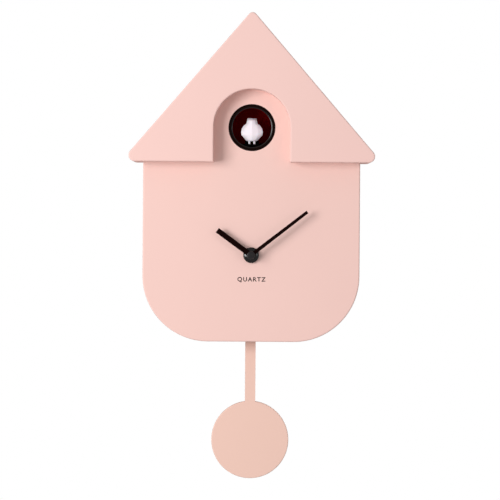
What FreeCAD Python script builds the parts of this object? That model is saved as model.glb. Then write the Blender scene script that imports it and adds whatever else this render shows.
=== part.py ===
import FreeCAD, Part
import math
import os
import re
import Sketcher
from FreeCAD import Placement, Rotation, Vector

# Battery cuckoo wall clock with a swinging pendulum, in millimetres.
# The origin is the centre of the hanging keyhole's round opening, on the plane of the wall.
# +Z is up, +X is the viewer's right, and the dial looks along -Y.
# A "depth" is a distance forward from the wall, so depth = -Y.

# ---------------------------------------------------------------- driving sizes
SIZES = [
    # gabled house
    ("roof_span", 227.6, "roof front, sharp eave corner to sharp eave corner"),
    ("roof_rise", 132.6, "roof front, eaves to the sharp ridge"),
    ("ridge_round", 4.0, "radius of the roof's top corner"),
    ("eave_round", 5.4, "radius of the roof's two lower corners"),
    ("house_width", 190.0, "width of the house under the roof"),
    ("house_drop", 157.1, "eaves to the underside of the house"),
    ("house_round", 57.5, "radius of the house's two lower corners"),
    ("case_depth", 62.0, "wall to the dial face"),
    ("roof_step", 17.0, "dial face to the roof's front"),
    ("wall", 2.5, "wall of the two pink mouldings"),
    ("edge_round", 1.2, "rounding of the front edges"),
    ("fit_gap", 0.3, "clearance between fitted mouldings"),
    ("hanger_rise", 70.0, "eaves to the keyhole"),
    ("cover_thick", 2.5, "thickness of the back cover"),
    # keyhole and screws
    ("keyhole_radius", 5.0, "opening that passes a wall screw's head"),
    ("keyhole_slot", 4.5, "width of the slot that holds the screw's shank"),
    ("keyhole_climb", 10.0, "opening's centre to the slot's end"),
    ("screw_radius", 1.25, "shank of every self-tapping screw"),
    ("head_radius", 2.5, "head of every self-tapping screw"),
    ("head_thick", 1.5, "thickness of a screw head"),
    ("screw_reach", 7.0, "depth that a cover screw enters its post"),
    ("screw_gap", 0.1, "radial clearance round a screw"),
    ("post_radius", 3.6, "radius of a screw post"),
    ("gable_inset", 8.613, "inside of the gable's slope, across to the gable screws"),
    # arch and bird
    ("arch_radius", 33.4, "radius of the arch cut in the roof's front"),
    ("bird_rise", 30.3, "eaves to the bird's axis"),
    ("hole_radius", 20.6, "round doorway in the dial face"),
    ("tube_radius", 17.3, "inside of the bird's tube"),
    ("tube_wall", 1.6, "wall of the bird's tube"),
    ("tube_rear", 20.0, "depth of the tube's rear end"),
    ("ring_recess", 0.4, "dial face to the front of the doorway ring"),
    ("ring_length", 6.6, "length of the doorway ring"),
    ("bird_travel", 20.0, "how far the bird comes out"),
    ("bird_width", 20.2, "across the bird's wings"),
    ("bird_height", 19.7, "underside to crown"),
    ("bird_length", 21.0, "breast to tail"),
    ("bird_drop", 11.2, "bird's axis down to its underside"),
    ("leg_length", 3.1, "length of a leg"),
    ("leg_radius", 1.05, "radius of a leg"),
    ("leg_spread", 4.5, "centre to centre of the legs"),
    ("stage_thick", 1.5, "plate that the bird stands on"),
    ("stage_recess", 3.6, "ring's front down to the stage's front edge at rest"),
    ("slider_width", 12.0, "sliding block under the tube"),
    ("slider_height", 7.4, "height of the sliding block"),
    ("rail_wall", 2.0, "thickness of the frame's plates"),
    ("rack_module", 0.8, "tooth size of the rack and its pinion"),
    ("pinion_teeth", 12, "teeth of the rack's pinion"),
    ("gear_module", 0.5, "tooth size of the reduction gear"),
    ("gear_teeth", 36, "teeth of the reduction gear"),
    ("motor_teeth", 8, "teeth of the motor's pinion"),
    ("motor_radius", 9.8, "stepper motor can"),
    ("motor_length", 13.0, "stepper motor can"),
    # hands and movement
    ("hands_drop", 81.3, "eaves to the hands' axis"),
    ("movement_size", 56.0, "square of the quartz movement"),
    ("movement_depth", 15.5, "thickness of the quartz movement"),
    ("movement_wall", 1.2, "wall of the movement's case"),
    ("washer_thick", 0.6, "rubber washer behind the dial face"),
    ("bush_radius", 3.9, "threaded bush through the dial face"),
    ("bush_length", 4.4, "bush in front of the dial face"),
    ("nut_radius", 7.0, "round fixing nut"),
    ("nut_thick", 4.0, "round fixing nut"),
    ("arbor_radius", 1.5, "minute arbor"),
    ("running_gap", 0.08, "radial clearance of a running fit"),
    ("tube_thick", 0.85, "wall of the hour wheel's tube"),
    ("hour_hand_length", 36.7, "axis to tip"),
    ("hour_hand_width", 4.7, "bar of the hour hand"),
    ("hour_hand_angle", 306.1, "clockwise from twelve, degrees"),
    ("minute_hand_length", 62.0, "axis to tip"),
    ("minute_hand_width", 3.3, "bar at the hub"),
    ("minute_tip_width", 2.7, "bar at the tip"),
    ("minute_hand_angle", 52.1, "clockwise from twelve, degrees"),
    ("hand_thick", 0.7, "sheet of both hands"),
    ("hub_radius", 3.5, "hubs of both hands"),
    ("hub_height", 2.0, "hubs of both hands"),
    ("hub_gap", 1.2, "space between the two hubs"),
    ("cap_height", 2.6, "cap that closes the minute hub"),
    ("clock_module", 0.4, "tooth size of the minute pinion and motion wheel"),
    ("minute_teeth", 12, "teeth of the minute pinion"),
    ("motion_teeth", 36, "teeth of the motion wheel"),
    ("motion_pinion_teeth", 10, "teeth of the motion wheel's pinion"),
    ("hour_teeth", 40, "teeth of the hour wheel"),
    ("knob_radius", 7.5, "hand-setting knob"),
    ("knob_length", 6.0, "hand-setting knob"),
    # pendulum
    ("drive_width", 44.0, "pendulum drive"),
    ("drive_height", 26.0, "pendulum drive"),
    ("drive_thick", 12.0, "pendulum drive"),
    ("drive_gap", 5.0, "movement to pendulum drive"),
    ("pin_radius", 1.0, "pivot pin and axle"),
    ("rod_width", 9.2, "pendulum strip"),
    ("rod_thick", 3.0, "pendulum strip"),
    ("rod_depth", 37.0, "depth of the pendulum's front face"),
    ("bob_radius", 34.0, "pendulum bob"),
    ("bob_thick", 8.0, "pendulum bob"),
    ("bob_drop", 244.4, "eaves to the bob's centre"),
    ("swing", 8.0, "degrees that the pendulum swings each way"),
    # batteries, sound and switches
    ("cell_radius", 7.1, "LR6 cell"),
    ("cell_length", 50.0, "LR6 cell with its button"),
    ("cell_pitch", 15.4, "cell to cell"),
    ("spring_room", 5.0, "room for the contact spring"),
    ("tray_depth", 17.0, "battery tray in front of the back cover"),
    ("tray_wall", 1.5, "wall of the battery tray"),
    ("tray_lift", 8.0, "floor of the case to the tray"),
    ("speaker_radius", 20.0, "loudspeaker basket"),
    ("speaker_x", -58.0, "loudspeaker's axis"),
    ("board_x", 58.0, "circuit board's centre"),
    ("board_width", 50.0, "circuit board"),
    ("board_height", 60.0, "circuit board"),
    ("board_thick", 1.6, "circuit board"),
    ("board_gap", 8.0, "back cover to circuit board"),
    ("sound_drop", 70.0, "eaves to the loudspeaker's and board's centres"),
]

# ---------------------------------------------------------------- places worked out from them
PLACES = [
    ("roof_front", "case_depth + roof_step"),
    ("face_rear", "case_depth - wall"),
    ("eaves_z", "-hanger_rise"),
    ("ridge_z", "eaves_z + roof_rise"),
    ("run", "roof_span / 2"),
    ("pitch", "roof_rise / run"),
    ("steep", "sqrt(run ^ 2 + roof_rise ^ 2) / run"),
    # inside of the roof, outside and inside of the house, edge of the back cover
    ("loft_ridge_z", "ridge_z - wall * steep"),
    ("loft_floor_z", "eaves_z + wall"),
    ("loft_half", "(loft_ridge_z - loft_floor_z) / pitch"),
    ("house_half", "house_width / 2"),
    ("house_floor_z", "eaves_z - house_drop"),
    ("house_ridge_z", "loft_ridge_z - fit_gap * steep"),
    ("house_eave_z", "house_ridge_z - house_half * pitch"),
    ("bay_half", "house_half - wall"),
    ("bay_floor_z", "house_floor_z + wall"),
    ("bay_ridge_z", "house_ridge_z - wall * steep"),
    ("bay_eave_z", "bay_ridge_z - bay_half * pitch"),
    ("cover_half", "bay_half - fit_gap"),
    ("cover_floor_z", "bay_floor_z + fit_gap"),
    ("cover_ridge_z", "bay_ridge_z - fit_gap * steep"),
    ("cover_eave_z", "cover_ridge_z - cover_half * pitch"),
    # bird's tube, carriage and drive
    ("bird_z", "eaves_z + bird_rise"),
    ("tube_outside", "tube_radius + tube_wall"),
    ("ring_outside", "hole_radius - 0.1"),
    ("ring_front", "case_depth - ring_recess"),
    ("ring_rear", "ring_front - ring_length"),
    ("ring_flange", "hole_radius + 2.4"),
    ("stage_front", "ring_front - stage_recess"),
    ("frame_front", "face_rear - 2.5"),
    ("frame_rear", "frame_front - 2.5"),
    ("stage_z", "bird_z - bird_drop - leg_length"),
    ("stage_half", "sqrt((tube_radius - 0.25) ^ 2 - (bird_z - stage_z + stage_thick) ^ 2)"),
    ("slider_top_z", "bird_z - tube_outside - 1.7"),
    ("slider_floor_z", "slider_top_z - slider_height"),
    ("slider_front", "frame_rear - 0.5 - bird_travel"),
    ("pinion_depth", "slider_front - rack_module * 2.6"),
    ("slider_rear", "pinion_depth - bird_travel - rack_module * 2.6"),
    ("pinion_radius", "rack_module * pinion_teeth / 2"),
    ("pinion_z", "slider_floor_z + rack_module - pinion_radius"),
    ("gear_radius", "gear_module * gear_teeth / 2"),
    ("motor_z", "pinion_z - gear_radius - gear_module * motor_teeth / 2"),
    ("rail_inside", "slider_width / 2 + fit_gap"),
    ("rail_outside", "rail_inside + rail_wall"),
    ("gear_x", "rail_outside + 1"),
    ("gear_end_x", "gear_x + 2"),
    ("motor_plate_x", "gear_end_x + 2"),
    ("motor_x", "motor_plate_x + rail_wall"),
    ("frame_top_z", "bird_z + ring_flange + 1"),
    ("frame_floor_z", "motor_z - motor_radius - 3"),
    ("frame_half", "motor_x + motor_length + 2"),
    ("frame_screw_x", "frame_half - post_radius"),
    ("frame_screw_top_z", "frame_top_z - post_radius"),
    ("frame_screw_low_z", "frame_floor_z + post_radius"),
    # hands and movement
    ("hands_z", "eaves_z - hands_drop"),
    ("movement_half", "movement_size / 2"),
    ("movement_front", "face_rear - washer_thick"),
    ("movement_rear", "movement_front - movement_depth"),
    ("movement_split", "movement_rear + movement_depth / 2"),
    ("bush_front", "case_depth + bush_length"),
    ("tube_bore", "arbor_radius + running_gap"),
    ("hour_tube_radius", "tube_bore + tube_thick"),
    ("bush_bore", "hour_tube_radius + running_gap"),
    ("hour_hub_rear", "bush_front + 0.8"),
    ("hour_hub_front", "hour_hub_rear + hub_height"),
    ("minute_hub_rear", "hour_hub_front + hub_gap"),
    ("minute_hub_front", "minute_hub_rear + hub_height"),
    ("arbor_rear", "movement_rear + movement_wall + 0.2"),
    ("arbor_front", "minute_hub_front + 1"),
    ("motion_rise", "clock_module * (minute_teeth + motion_teeth) / 2"),
    ("hour_module", "2 * motion_rise / (motion_pinion_teeth + hour_teeth)"),
    ("motion_z", "hands_z + motion_rise"),
    ("hour_wheel_front", "movement_front - movement_wall - 1.1"),
    ("hour_wheel_rear", "hour_wheel_front - 1.2"),
    ("motion_wheel_front", "hour_wheel_rear - 1.6"),
    ("motion_wheel_rear", "motion_wheel_front - 1.4"),
    # pendulum
    ("drive_z", "hands_z - movement_half - drive_gap - drive_height / 2"),
    ("drive_front", "face_rear - 2.5"),
    ("drive_rear", "drive_front - drive_thick"),
    ("drive_lid", "drive_rear + 1.2"),
    ("pivot_z", "drive_z + drive_height / 2 - 5"),
    ("magnet_z", "pivot_z - 12.5"),
    ("rod_rear", "rod_depth - rod_thick"),
    ("arm_rear", "rod_depth + 0.5"),
    ("arm_front", "arm_rear + 2"),
    ("hook_z", "pivot_z - 22"),
    ("bob_z", "eaves_z - bob_drop"),
    ("bob_rear", "rod_depth - bob_thick"),
    ("slot_half", "(pivot_z - house_floor_z) * tan(swing * 1 deg) + rod_width / 2 + 1.8"),
    # batteries, sound and switches
    ("tray_half", "(cell_length + spring_room) / 2 + tray_wall + 1"),
    ("tray_rise", "1.5 * cell_pitch + tray_wall + 0.3"),
    ("tray_z", "bay_floor_z + tray_lift + tray_rise"),
    ("tray_front", "cover_thick + tray_depth"),
    ("cell_depth", "tray_front - tray_wall - cell_radius - 0.2"),
    ("sound_z", "eaves_z - sound_drop"),
    ("board_rear", "cover_thick + board_gap"),
    ("board_front", "board_rear + board_thick"),
    ("switch_z", "sound_z + board_height / 2 - 9"),
    ("volume_z", "switch_z - 21"),
    ("button_z", "volume_z - 18"),
    # screw posts of the back cover
    ("side_post_x", "bay_half - post_radius - 0.8"),
    ("side_post_z", "eaves_z - 22"),
    ("top_post_z", "keyhole_climb + keyhole_slot + post_radius + 12"),
    ("low_post_x", "tray_half + post_radius + 4"),
    ("low_corner", "max(0; low_post_x - house_half + house_round)"),
    ("low_post_rise", "house_round - sqrt((house_round - wall) ^ 2 - low_corner ^ 2)"),
    ("low_post_z", "house_floor_z + low_post_rise + post_radius + 1.5"),
    ("roof_screw_x", "arch_radius + wall + 24"),
    ("roof_screw_z", "eaves_z + 14"),
    ("gable_screw_z", "bird_z + arch_radius + wall + post_radius + 12"),
    ("gable_screw_x", "(bay_ridge_z - gable_screw_z) / pitch - gable_inset"),
]

doc = FreeCAD.newDocument("cuckoo_clock")


def make_sheet(name, rows, prefix, note_column):
    """A spreadsheet with one aliased value in column B of each row."""
    sheet = doc.addObject("Spreadsheet::Sheet", name)
    for line, (alias, content, *note) in enumerate(rows, 1):
        sheet.set(f"A{line}", note[0] if note_column else alias)
        sheet.set(f"B{line}", prefix + (str(content) if not prefix else cell(content)))
        sheet.setAlias(f"B{line}", alias)
    return sheet


OWNER = {row[0]: "Sizes" for row in SIZES}
OWNER.update({row[0]: "Places" for row in PLACES})


def cell(expression):
    """The expression with each size's or place's name pointed at its spreadsheet."""
    return re.sub(r"[a-z][a-z_]*", lambda m: f"{OWNER[m[0]]}.{m[0]}" if m[0] in OWNER else m[0], expression)


sizes = make_sheet("Sizes", SIZES, "", True)
places = make_sheet("Places", PLACES, "=", False)
doc.recompute()


def value(name):
    """The number in a named cell."""
    return float((sizes if OWNER[name] == "Sizes" else places).get(name))


# ---------------------------------------------------------------- outlines for sketches
def circle(x, z, radius):
    return [("circle", x, z, radius)]


def polygon(*corners):
    return [("polygon", corners)]


def rectangle(x_low, x_high, z_low, z_high):
    return polygon((x_low, z_low), (x_high, z_low), (x_high, z_high), (x_low, z_high))


def centred(x, z, half_width, half_height):
    return rectangle(f"{x} - ({half_width})", f"{x} + ({half_width})",
                     f"{z} - ({half_height})", f"{z} + ({half_height})")


def bind(sketch, kind, geometry, point, expression):
    """A distance from the sketch's origin, or a radius, that follows an expression."""
    if kind == "Radius":
        index = sketch.addConstraint(Sketcher.Constraint("Radius", geometry, 1.0))
    else:
        index = sketch.addConstraint(Sketcher.Constraint(kind, -1, 1, geometry, point, 1.0))
    sketch.setExpression(f"Constraints[{index}]", cell(expression))


def draw(sketch, outlines):
    """Adds the outlines to a sketch, each corner and centre held by its own dimensions."""
    for outline in outlines:
        if outline[0] == "circle":
            round_line = sketch.addGeometry(Part.Circle(Vector(), Vector(0, 0, 1), 1))
            bind(sketch, "DistanceX", round_line, 3, outline[1])
            bind(sketch, "DistanceY", round_line, 3, outline[2])
            bind(sketch, "Radius", round_line, None, outline[3])
            continue
        corners = outline[1]
        count = len(corners)
        start = [Vector(math.cos(2 * math.pi * k / count), math.sin(2 * math.pi * k / count), 0)
                 for k in range(count)]
        lines = [sketch.addGeometry(Part.LineSegment(start[k], start[(k + 1) % count]))
                 for k in range(count)]
        for k in range(count):
            sketch.addConstraint(Sketcher.Constraint("Coincident", lines[k], 2, lines[(k + 1) % count], 1))
        for line, (across, up) in zip(lines, corners):
            bind(sketch, "DistanceX", line, 1, across)
            bind(sketch, "DistanceY", line, 1, up)


def sketch_on(body, plane, offset, outlines):
    """A sketch on one of the body's own origin planes, moved along the plane's normal."""
    sketch = body.newObject("Sketcher::SketchObject", "Outline")
    role = next(f for f in body.Origin.OriginFeatures if f.Role == plane)
    sketch.AttachmentSupport = [(role, "")]
    sketch.MapMode = "FlatFace"
    sketch.setExpression("AttachmentOffset.Base.z", cell(offset))
    draw(sketch, outlines)
    return sketch


# ---------------------------------------------------------------- bodies and features
PIECES = []


def new_body(label):
    body = doc.addObject("PartDesign::Body", label)
    body.Label = label
    PIECES.append(body)
    return body


def add(body, start, end, *outlines, plane="XZ_Plane"):
    """Material from one depth to a greater one (or along +X or +Z on the other planes)."""
    pad = body.newObject("PartDesign::Pad", "Add")
    pad.Profile = sketch_on(body, plane, start, sum(outlines, []))
    pad.setExpression("Length", cell(f"({end}) - ({start})"))


def cut(body, start, end, *outlines, plane="XZ_Plane"):
    """Takes material away between the same two depths."""
    pocket = body.newObject("PartDesign::Pocket", "Cut")
    pocket.Profile = sketch_on(body, plane, end, sum(outlines, []))
    pocket.setExpression("Length", cell(f"({end}) - ({start})"))


def gap_outline(teeth, module):
    """Corners of the gap between two involute teeth, its middle on the sketch's X axis:
    at each radius the gap is the pitch less the tooth, whose flank is the involute of a 20 degree
    pressure angle, with a little backlash."""
    pressure = math.radians(20)
    pitch_radius = module * teeth / 2
    base_radius = pitch_radius * math.cos(pressure)
    outer_radius = pitch_radius + 0.9 * module
    root_radius = pitch_radius - 1.15 * module
    flank = []
    for step in range(5):
        radius = max(root_radius, base_radius)
        radius += (outer_radius - radius) * step / 4
        lean = math.acos(min(1, base_radius / radius))
        involute = math.tan(lean) - lean - math.tan(pressure) + pressure
        flank.append((radius, math.pi / (2 * teeth) + involute + 0.06 * module / pitch_radius))
    flank.insert(0, (root_radius, flank[0][1] * 0.8))
    flank.append((outer_radius + module, flank[-1][1] + 0.1 / teeth))
    ends = [(r * math.cos(a), r * math.sin(a)) for r, a in flank]
    return [(x, -y) for x, y in reversed(ends)] + ends


def wheel(body, start, end, x, z, teeth, module, first_gap, plane="XZ_Plane"):
    """A spur wheel's rim and teeth; first_gap is the angle of one gap in degrees."""
    add(body, start, end, circle(x, z, f"{module} * ({teeth} + 1.8) / 2"), plane=plane)
    pocket = body.newObject("PartDesign::Pocket", "ToothGap")
    sketch = sketch_on(body, plane, end, [])
    sketch.setExpression("AttachmentOffset.Base.x", cell(x))
    sketch.setExpression("AttachmentOffset.Base.y", cell(z))
    sketch.AttachmentOffset = Placement(sketch.AttachmentOffset.Base, Rotation(Vector(0, 0, 1), first_gap))
    corners = [Vector(a, b, 0) for a, b in gap_outline(value(teeth), value(module))]
    for first, second in zip(corners, corners[1:] + corners[:1]):
        sketch.addGeometry(Part.LineSegment(first, second))
    pocket.Profile = sketch
    pocket.setExpression("Length", cell(f"({end}) - ({start})"))
    pattern = body.newObject("PartDesign::PolarPattern", "Teeth")
    pattern.Originals = [pocket]
    pattern.Axis = (sketch, ["N_Axis"])
    pattern.Angle = 360
    pattern.setExpression("Occurrences", cell(teeth))
    body.Tip = pattern


def round_edges(body, edges, radius):
    """Fillets the named edges of the body as it stands."""
    last = body.Tip
    fillet = body.newObject("PartDesign::Fillet", "Round")
    fillet.Base = (last, edges)
    fillet.setExpression("Radius", cell(radius))
    body.Tip = fillet


def edges_at(body, spots):
    """Names of the straight edges along Y whose (x, z) is one of the spots."""
    doc.recompute()
    names = []
    for index, edge in enumerate(body.Shape.Edges, 1):
        box = edge.BoundBox
        if box.YLength < 1 or box.XLength > 0.01 or box.ZLength > 0.01:
            continue
        if any(abs(box.XMin - x) < 0.05 and abs(box.ZMin - z) < 0.05 for x, z in spots):
            names.append(f"Edge{index}")
    return names


def low_corners(body, half, floor):
    return edges_at(body, [(value(half), value(floor)), (-value(half), value(floor))])


def front_edges(body, depth):
    """Names of the outer edges of the largest flat face that lies at a depth."""
    doc.recompute()
    faces = [f for f in body.Shape.Faces
             if f.BoundBox.YLength < 0.001 and abs(f.BoundBox.YMin + depth) < 0.001]
    outer = max(faces, key=lambda f: f.Area).OuterWire.Edges
    return [f"Edge{k}" for k, e in enumerate(body.Shape.Edges, 1) if any(e.isSame(o) for o in outer)]


TURNS = {"depth": Rotation(Vector(1, 0, 0), 90), "x": Rotation(Vector(0, 1, 0), 90), "z": Rotation()}


def settle(piece, at, along):
    """Stands a piece's own Z axis along a direction, at a point that follows the sheet.
    Where the direction is depth, lengths along the axis are depths."""
    piece.Placement = Placement(Vector(), TURNS[along])
    for axis, expression in zip("xyz", at):
        piece.setExpression(f"Placement.Base.{axis}", cell(expression))


def turned(label, at, along, *profiles):
    """A round piece: each profile lists (length along the axis, radius) corners and is revolved."""
    body = new_body(label)
    for profile in profiles:
        revolution = body.newObject("PartDesign::Revolution", "Turned")
        corners = [(radius, length) for length, radius in profile]
        revolution.Profile = sketch_on(body, "XZ_Plane", "0", polygon(*corners))
        axis = next(f for f in body.Origin.OriginFeatures if f.Role == "Z_Axis")
        revolution.ReferenceAxis = (axis, [""])
        revolution.Angle = 360
    settle(body, at, along)
    return body


def sleeve(start, end, inner, outer):
    """Profile of a plain ring, or of a solid bar where the inner radius is 0."""
    return [(start, inner), (end, inner), (end, outer), (start, outer)]


def screws(label, spots, seat, tip, from_wall=True):
    """A group of cross-recessed screws; the heads sit on the wall's side of the seat or in front of it."""
    body = new_body(label)
    top = f"{seat} - head_thick" if from_wall else f"{seat} + head_thick"
    groove = f"{seat} - head_thick * 0.4" if from_wall else f"{seat} + head_thick * 0.4"
    order = (lambda a, b: (a, b)) if from_wall else (lambda a, b: (b, a))
    add(body, *order(top, seat), *[circle(x, z, "head_radius") for x, z in spots])
    add(body, *order(seat, tip), *[circle(x, z, "screw_radius") for x, z in spots])
    for half_width, half_height in (("head_radius * 0.6", "0.3"), ("0.3", "head_radius * 0.6")):
        cut(body, *order(top, groove), *[centred(x, z, half_width, half_height) for x, z in spots])
    return body


def computed(label, shape):
    """A piece whose form neither sketches nor primitives give."""
    piece = doc.addObject("Part::Feature", label)
    piece.Label = label
    piece.Shape = shape
    PIECES.append(piece)
    return piece


# ---------------------------------------------------------------- roof
ROOF_SCREWS = [("roof_screw_x", "roof_screw_z"), ("-roof_screw_x", "roof_screw_z"),
               ("gable_screw_x", "gable_screw_z"), ("-gable_screw_x", "gable_screw_z")]

# One moulding: a deep triangular box, open at the back and where the house enters it from below,
# with an arched tunnel in its front that shows the bird's doorway.
roof = new_body("roof_shell")
add(roof, "0", "roof_front", polygon(("-run", "eaves_z"), ("run", "eaves_z"), ("0", "ridge_z")))
cut(roof, "0", "roof_front - wall",
    polygon(("-loft_half", "loft_floor_z"), ("loft_half", "loft_floor_z"), ("0", "loft_ridge_z")))
round_edges(roof, low_corners(roof, "loft_half", "loft_floor_z"), "eave_round - wall")
round_edges(roof, low_corners(roof, "run", "eaves_z"), "eave_round")
round_edges(roof, edges_at(roof, [(0, value("ridge_z"))]), "ridge_round")
cut(roof, "0", "case_depth",
    rectangle("-(house_half + fit_gap)", "house_half + fit_gap", "eaves_z - 1", "loft_floor_z + 1"))
add(roof, "case_depth", "roof_front", circle("0", "bird_z", "arch_radius + wall"))
add(roof, "case_depth", "roof_front",
    rectangle("-(arch_radius + wall)", "arch_radius + wall", "eaves_z", "bird_z"))
add(roof, "case_depth", "roof_front", *[circle(x, z, "post_radius") for x, z in ROOF_SCREWS])
cut(roof, "case_depth", "roof_front", circle("0", "bird_z", "arch_radius"))
cut(roof, "case_depth", "roof_front",
    rectangle("-arch_radius", "arch_radius", "eaves_z - arch_radius", "bird_z"))
cut(roof, "case_depth", "case_depth + 9", *[circle(x, z, "screw_radius + screw_gap") for x, z in ROOF_SCREWS])
round_edges(roof, front_edges(roof, value("roof_front")), "edge_round")

# ---------------------------------------------------------------- house
COVER_SCREWS = [("0", "top_post_z"), ("side_post_x", "side_post_z"), ("-side_post_x", "side_post_z"),
                ("low_post_x", "low_post_z"), ("-low_post_x", "low_post_z")]
FRAME_SCREWS = [("frame_screw_x", "frame_screw_top_z"), ("-frame_screw_x", "frame_screw_top_z"),
                ("frame_screw_x", "frame_screw_low_z"), ("-frame_screw_x", "frame_screw_low_z")]
DRIVE_SCREWS = [(f"{side}(drive_width / 2 - 4)", f"drive_z {level} (drive_height / 2 - 4)")
                for side in ("", "-") for level in "+-"]


def house_outline(half, floor, eave, ridge):
    return polygon((f"-{half}", floor), (half, floor), (half, eave), ("0", ridge), (f"-{half}", eave))


# One moulding: dial face and sides, open at the back; its gable stands inside the roof.
house = new_body("house_shell")
add(house, "0", "case_depth", house_outline("house_half", "house_floor_z", "house_eave_z", "house_ridge_z"))
cut(house, "0", "face_rear", house_outline("bay_half", "bay_floor_z", "bay_eave_z", "bay_ridge_z"))
round_edges(house, low_corners(house, "bay_half", "bay_floor_z"), "house_round - wall")
round_edges(house, low_corners(house, "house_half", "house_floor_z"), "house_round")
add(house, "cover_thick", "case_depth", *[circle(x, z, "post_radius") for x, z in COVER_SCREWS])
add(house, "frame_front", "case_depth", *[circle(x, z, "post_radius") for x, z in FRAME_SCREWS + DRIVE_SCREWS])
cut(house, "face_rear", "case_depth", circle("0", "bird_z", "hole_radius"),
    circle("0", "hands_z", "bush_radius + 0.2"),
    *[circle(x, z, "screw_radius + screw_gap") for x, z in ROOF_SCREWS])
cut(house, "cover_thick", "cover_thick + screw_reach + 1",
    *[circle(x, z, "screw_radius + screw_gap") for x, z in COVER_SCREWS])
cut(house, "frame_front", "frame_front + 3.6",
    *[circle(x, z, "screw_radius + screw_gap") for x, z in FRAME_SCREWS + DRIVE_SCREWS])
cut(house, "rod_rear - 2", "rod_depth + 2",
    rectangle("-slot_half", "slot_half", "house_floor_z - 1", "bay_floor_z + 1"))
round_edges(house, front_edges(house, value("case_depth")), "edge_round")

screws("roof_screws", ROOF_SCREWS, "face_rear", "case_depth + 8")

# ---------------------------------------------------------------- back cover
SPEAKER_SPOTS = [("speaker_x", "sound_z + speaker_radius + 2"),
                 ("speaker_x + (speaker_radius + 2) * 0.866", "sound_z - (speaker_radius + 2) / 2"),
                 ("speaker_x - (speaker_radius + 2) * 0.866", "sound_z - (speaker_radius + 2) / 2")]
BOARD_SPOTS = [(f"board_x {side} (board_width / 2 - 4)", f"sound_z {level} (board_height / 2 - 4)")
               for side in "+-" for level in "+-"]
GRILLE = [centred(f"speaker_x + {step} * 5", "sound_z", "1", f"{reach}")
          for step, reach in ((-3, 7), (-2, 11), (-1, 13), (0, 14), (1, 13), (2, 11), (3, 7))]
TRAY_INSIDE = ("tray_half - tray_wall", "tray_rise - tray_wall")

# The flat cover lies inside the house's rim; it carries the keyhole, the battery tray,
# the loudspeaker's grille and the circuit board.
cover = new_body("back_cover")
add(cover, "0", "cover_thick", house_outline("cover_half", "cover_floor_z", "cover_eave_z", "cover_ridge_z"))
round_edges(cover, low_corners(cover, "cover_half", "cover_floor_z"), "house_round - wall - fit_gap")
add(cover, "0", "tray_front", centred("0", "tray_z", "tray_half", "tray_rise"))
add(cover, "0", "cover_thick + 1.5", *[circle(x, z, "1.9") for x, z in SPEAKER_SPOTS])
add(cover, "0", "board_rear", *[circle(x, z, "2.4") for x, z in BOARD_SPOTS])
cut(cover, "0", "tray_front - tray_wall", centred("0", "tray_z", *TRAY_INSIDE))
cut(cover, "0", "tray_wall + 0.2", centred("0", "tray_z", "tray_half - 0.4", "tray_rise - 0.4"))
cut(cover, "0", "cover_thick", circle("0", "0", "keyhole_radius"), *GRILLE,
    circle("0", "motion_z", "knob_radius + 1.5"),
    centred("board_x", "switch_z", "5.5", "2"), centred("board_x", "volume_z", "5.5", "2"),
    circle("board_x", "button_z", "2.6"))
cut(cover, "0", "cover_thick", rectangle("-keyhole_slot / 2", "keyhole_slot / 2", "0", "keyhole_climb"))
cut(cover, "0", "cover_thick", circle("0", "keyhole_climb", "keyhole_slot / 2"))
cut(cover, "0", "cover_thick", *[circle(x, z, "screw_radius + 0.2") for x, z in COVER_SCREWS])
cut(cover, "0", "head_thick + 0.1", *[circle(x, z, "head_radius + 0.15") for x, z in COVER_SCREWS])
cut(cover, "1", "cover_thick + 1.5", *[circle(x, z, "screw_radius + screw_gap") for x, z in SPEAKER_SPOTS])
cut(cover, "board_rear - 6", "board_rear", *[circle(x, z, "screw_radius + screw_gap") for x, z in BOARD_SPOTS])

screws("cover_screws", COVER_SCREWS, "head_thick + 0.1", "cover_thick + screw_reach")

# ---------------------------------------------------------------- batteries
ROWS = [("low", -1, 1), ("middle", 0, -1), ("top", 1, 1)]


def facing(pole, start, end):
    """Two distances to the right of the middle, or mirrored to its left where the pole is -1."""
    return (start, end) if pole > 0 else (f"-({end})", f"-({start})")


# Three LR6 cells lie side by side with their poles in turn; each has a spring at its flat end.
for row, level, pole in ROWS:
    height = f"tray_z + {level} * cell_pitch"
    battery = new_body(f"battery_{row}")
    add(battery,
        *facing(pole, "tray_half - 1 - tray_wall - cell_length + 0.4", "tray_half - 1 - tray_wall - 1.4"),
        circle("-cell_depth", height, "cell_radius"), plane="YZ_Plane")
    add(battery, *facing(pole, "tray_half - 1 - tray_wall - 1.4", "tray_half - 1 - tray_wall"),
        circle("-cell_depth", height, "2.7"), plane="YZ_Plane")

plates = new_body("contact_plates")
for pole, joined, single in ((1, "-", "+"), (-1, "+", "-")):
    spot = ("-cell_depth", f"tray_z {joined} cell_pitch / 2", "5", "cell_pitch / 2 + 5")
    end_spot = ("-cell_depth", f"tray_z {single} cell_pitch", "5", "5")
    add(plates, *facing(pole, "tray_half - tray_wall - 0.4", "tray_half - tray_wall"),
        centred(*spot), centred(*end_spot), plane="YZ_Plane")
for row, level, pole in ROWS:
    add(plates, *facing(pole, "tray_half - tray_wall - 1", "tray_half - tray_wall"),
        circle("-cell_depth", f"tray_z + {level} * cell_pitch", "1.8"), plane="YZ_Plane")

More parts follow.
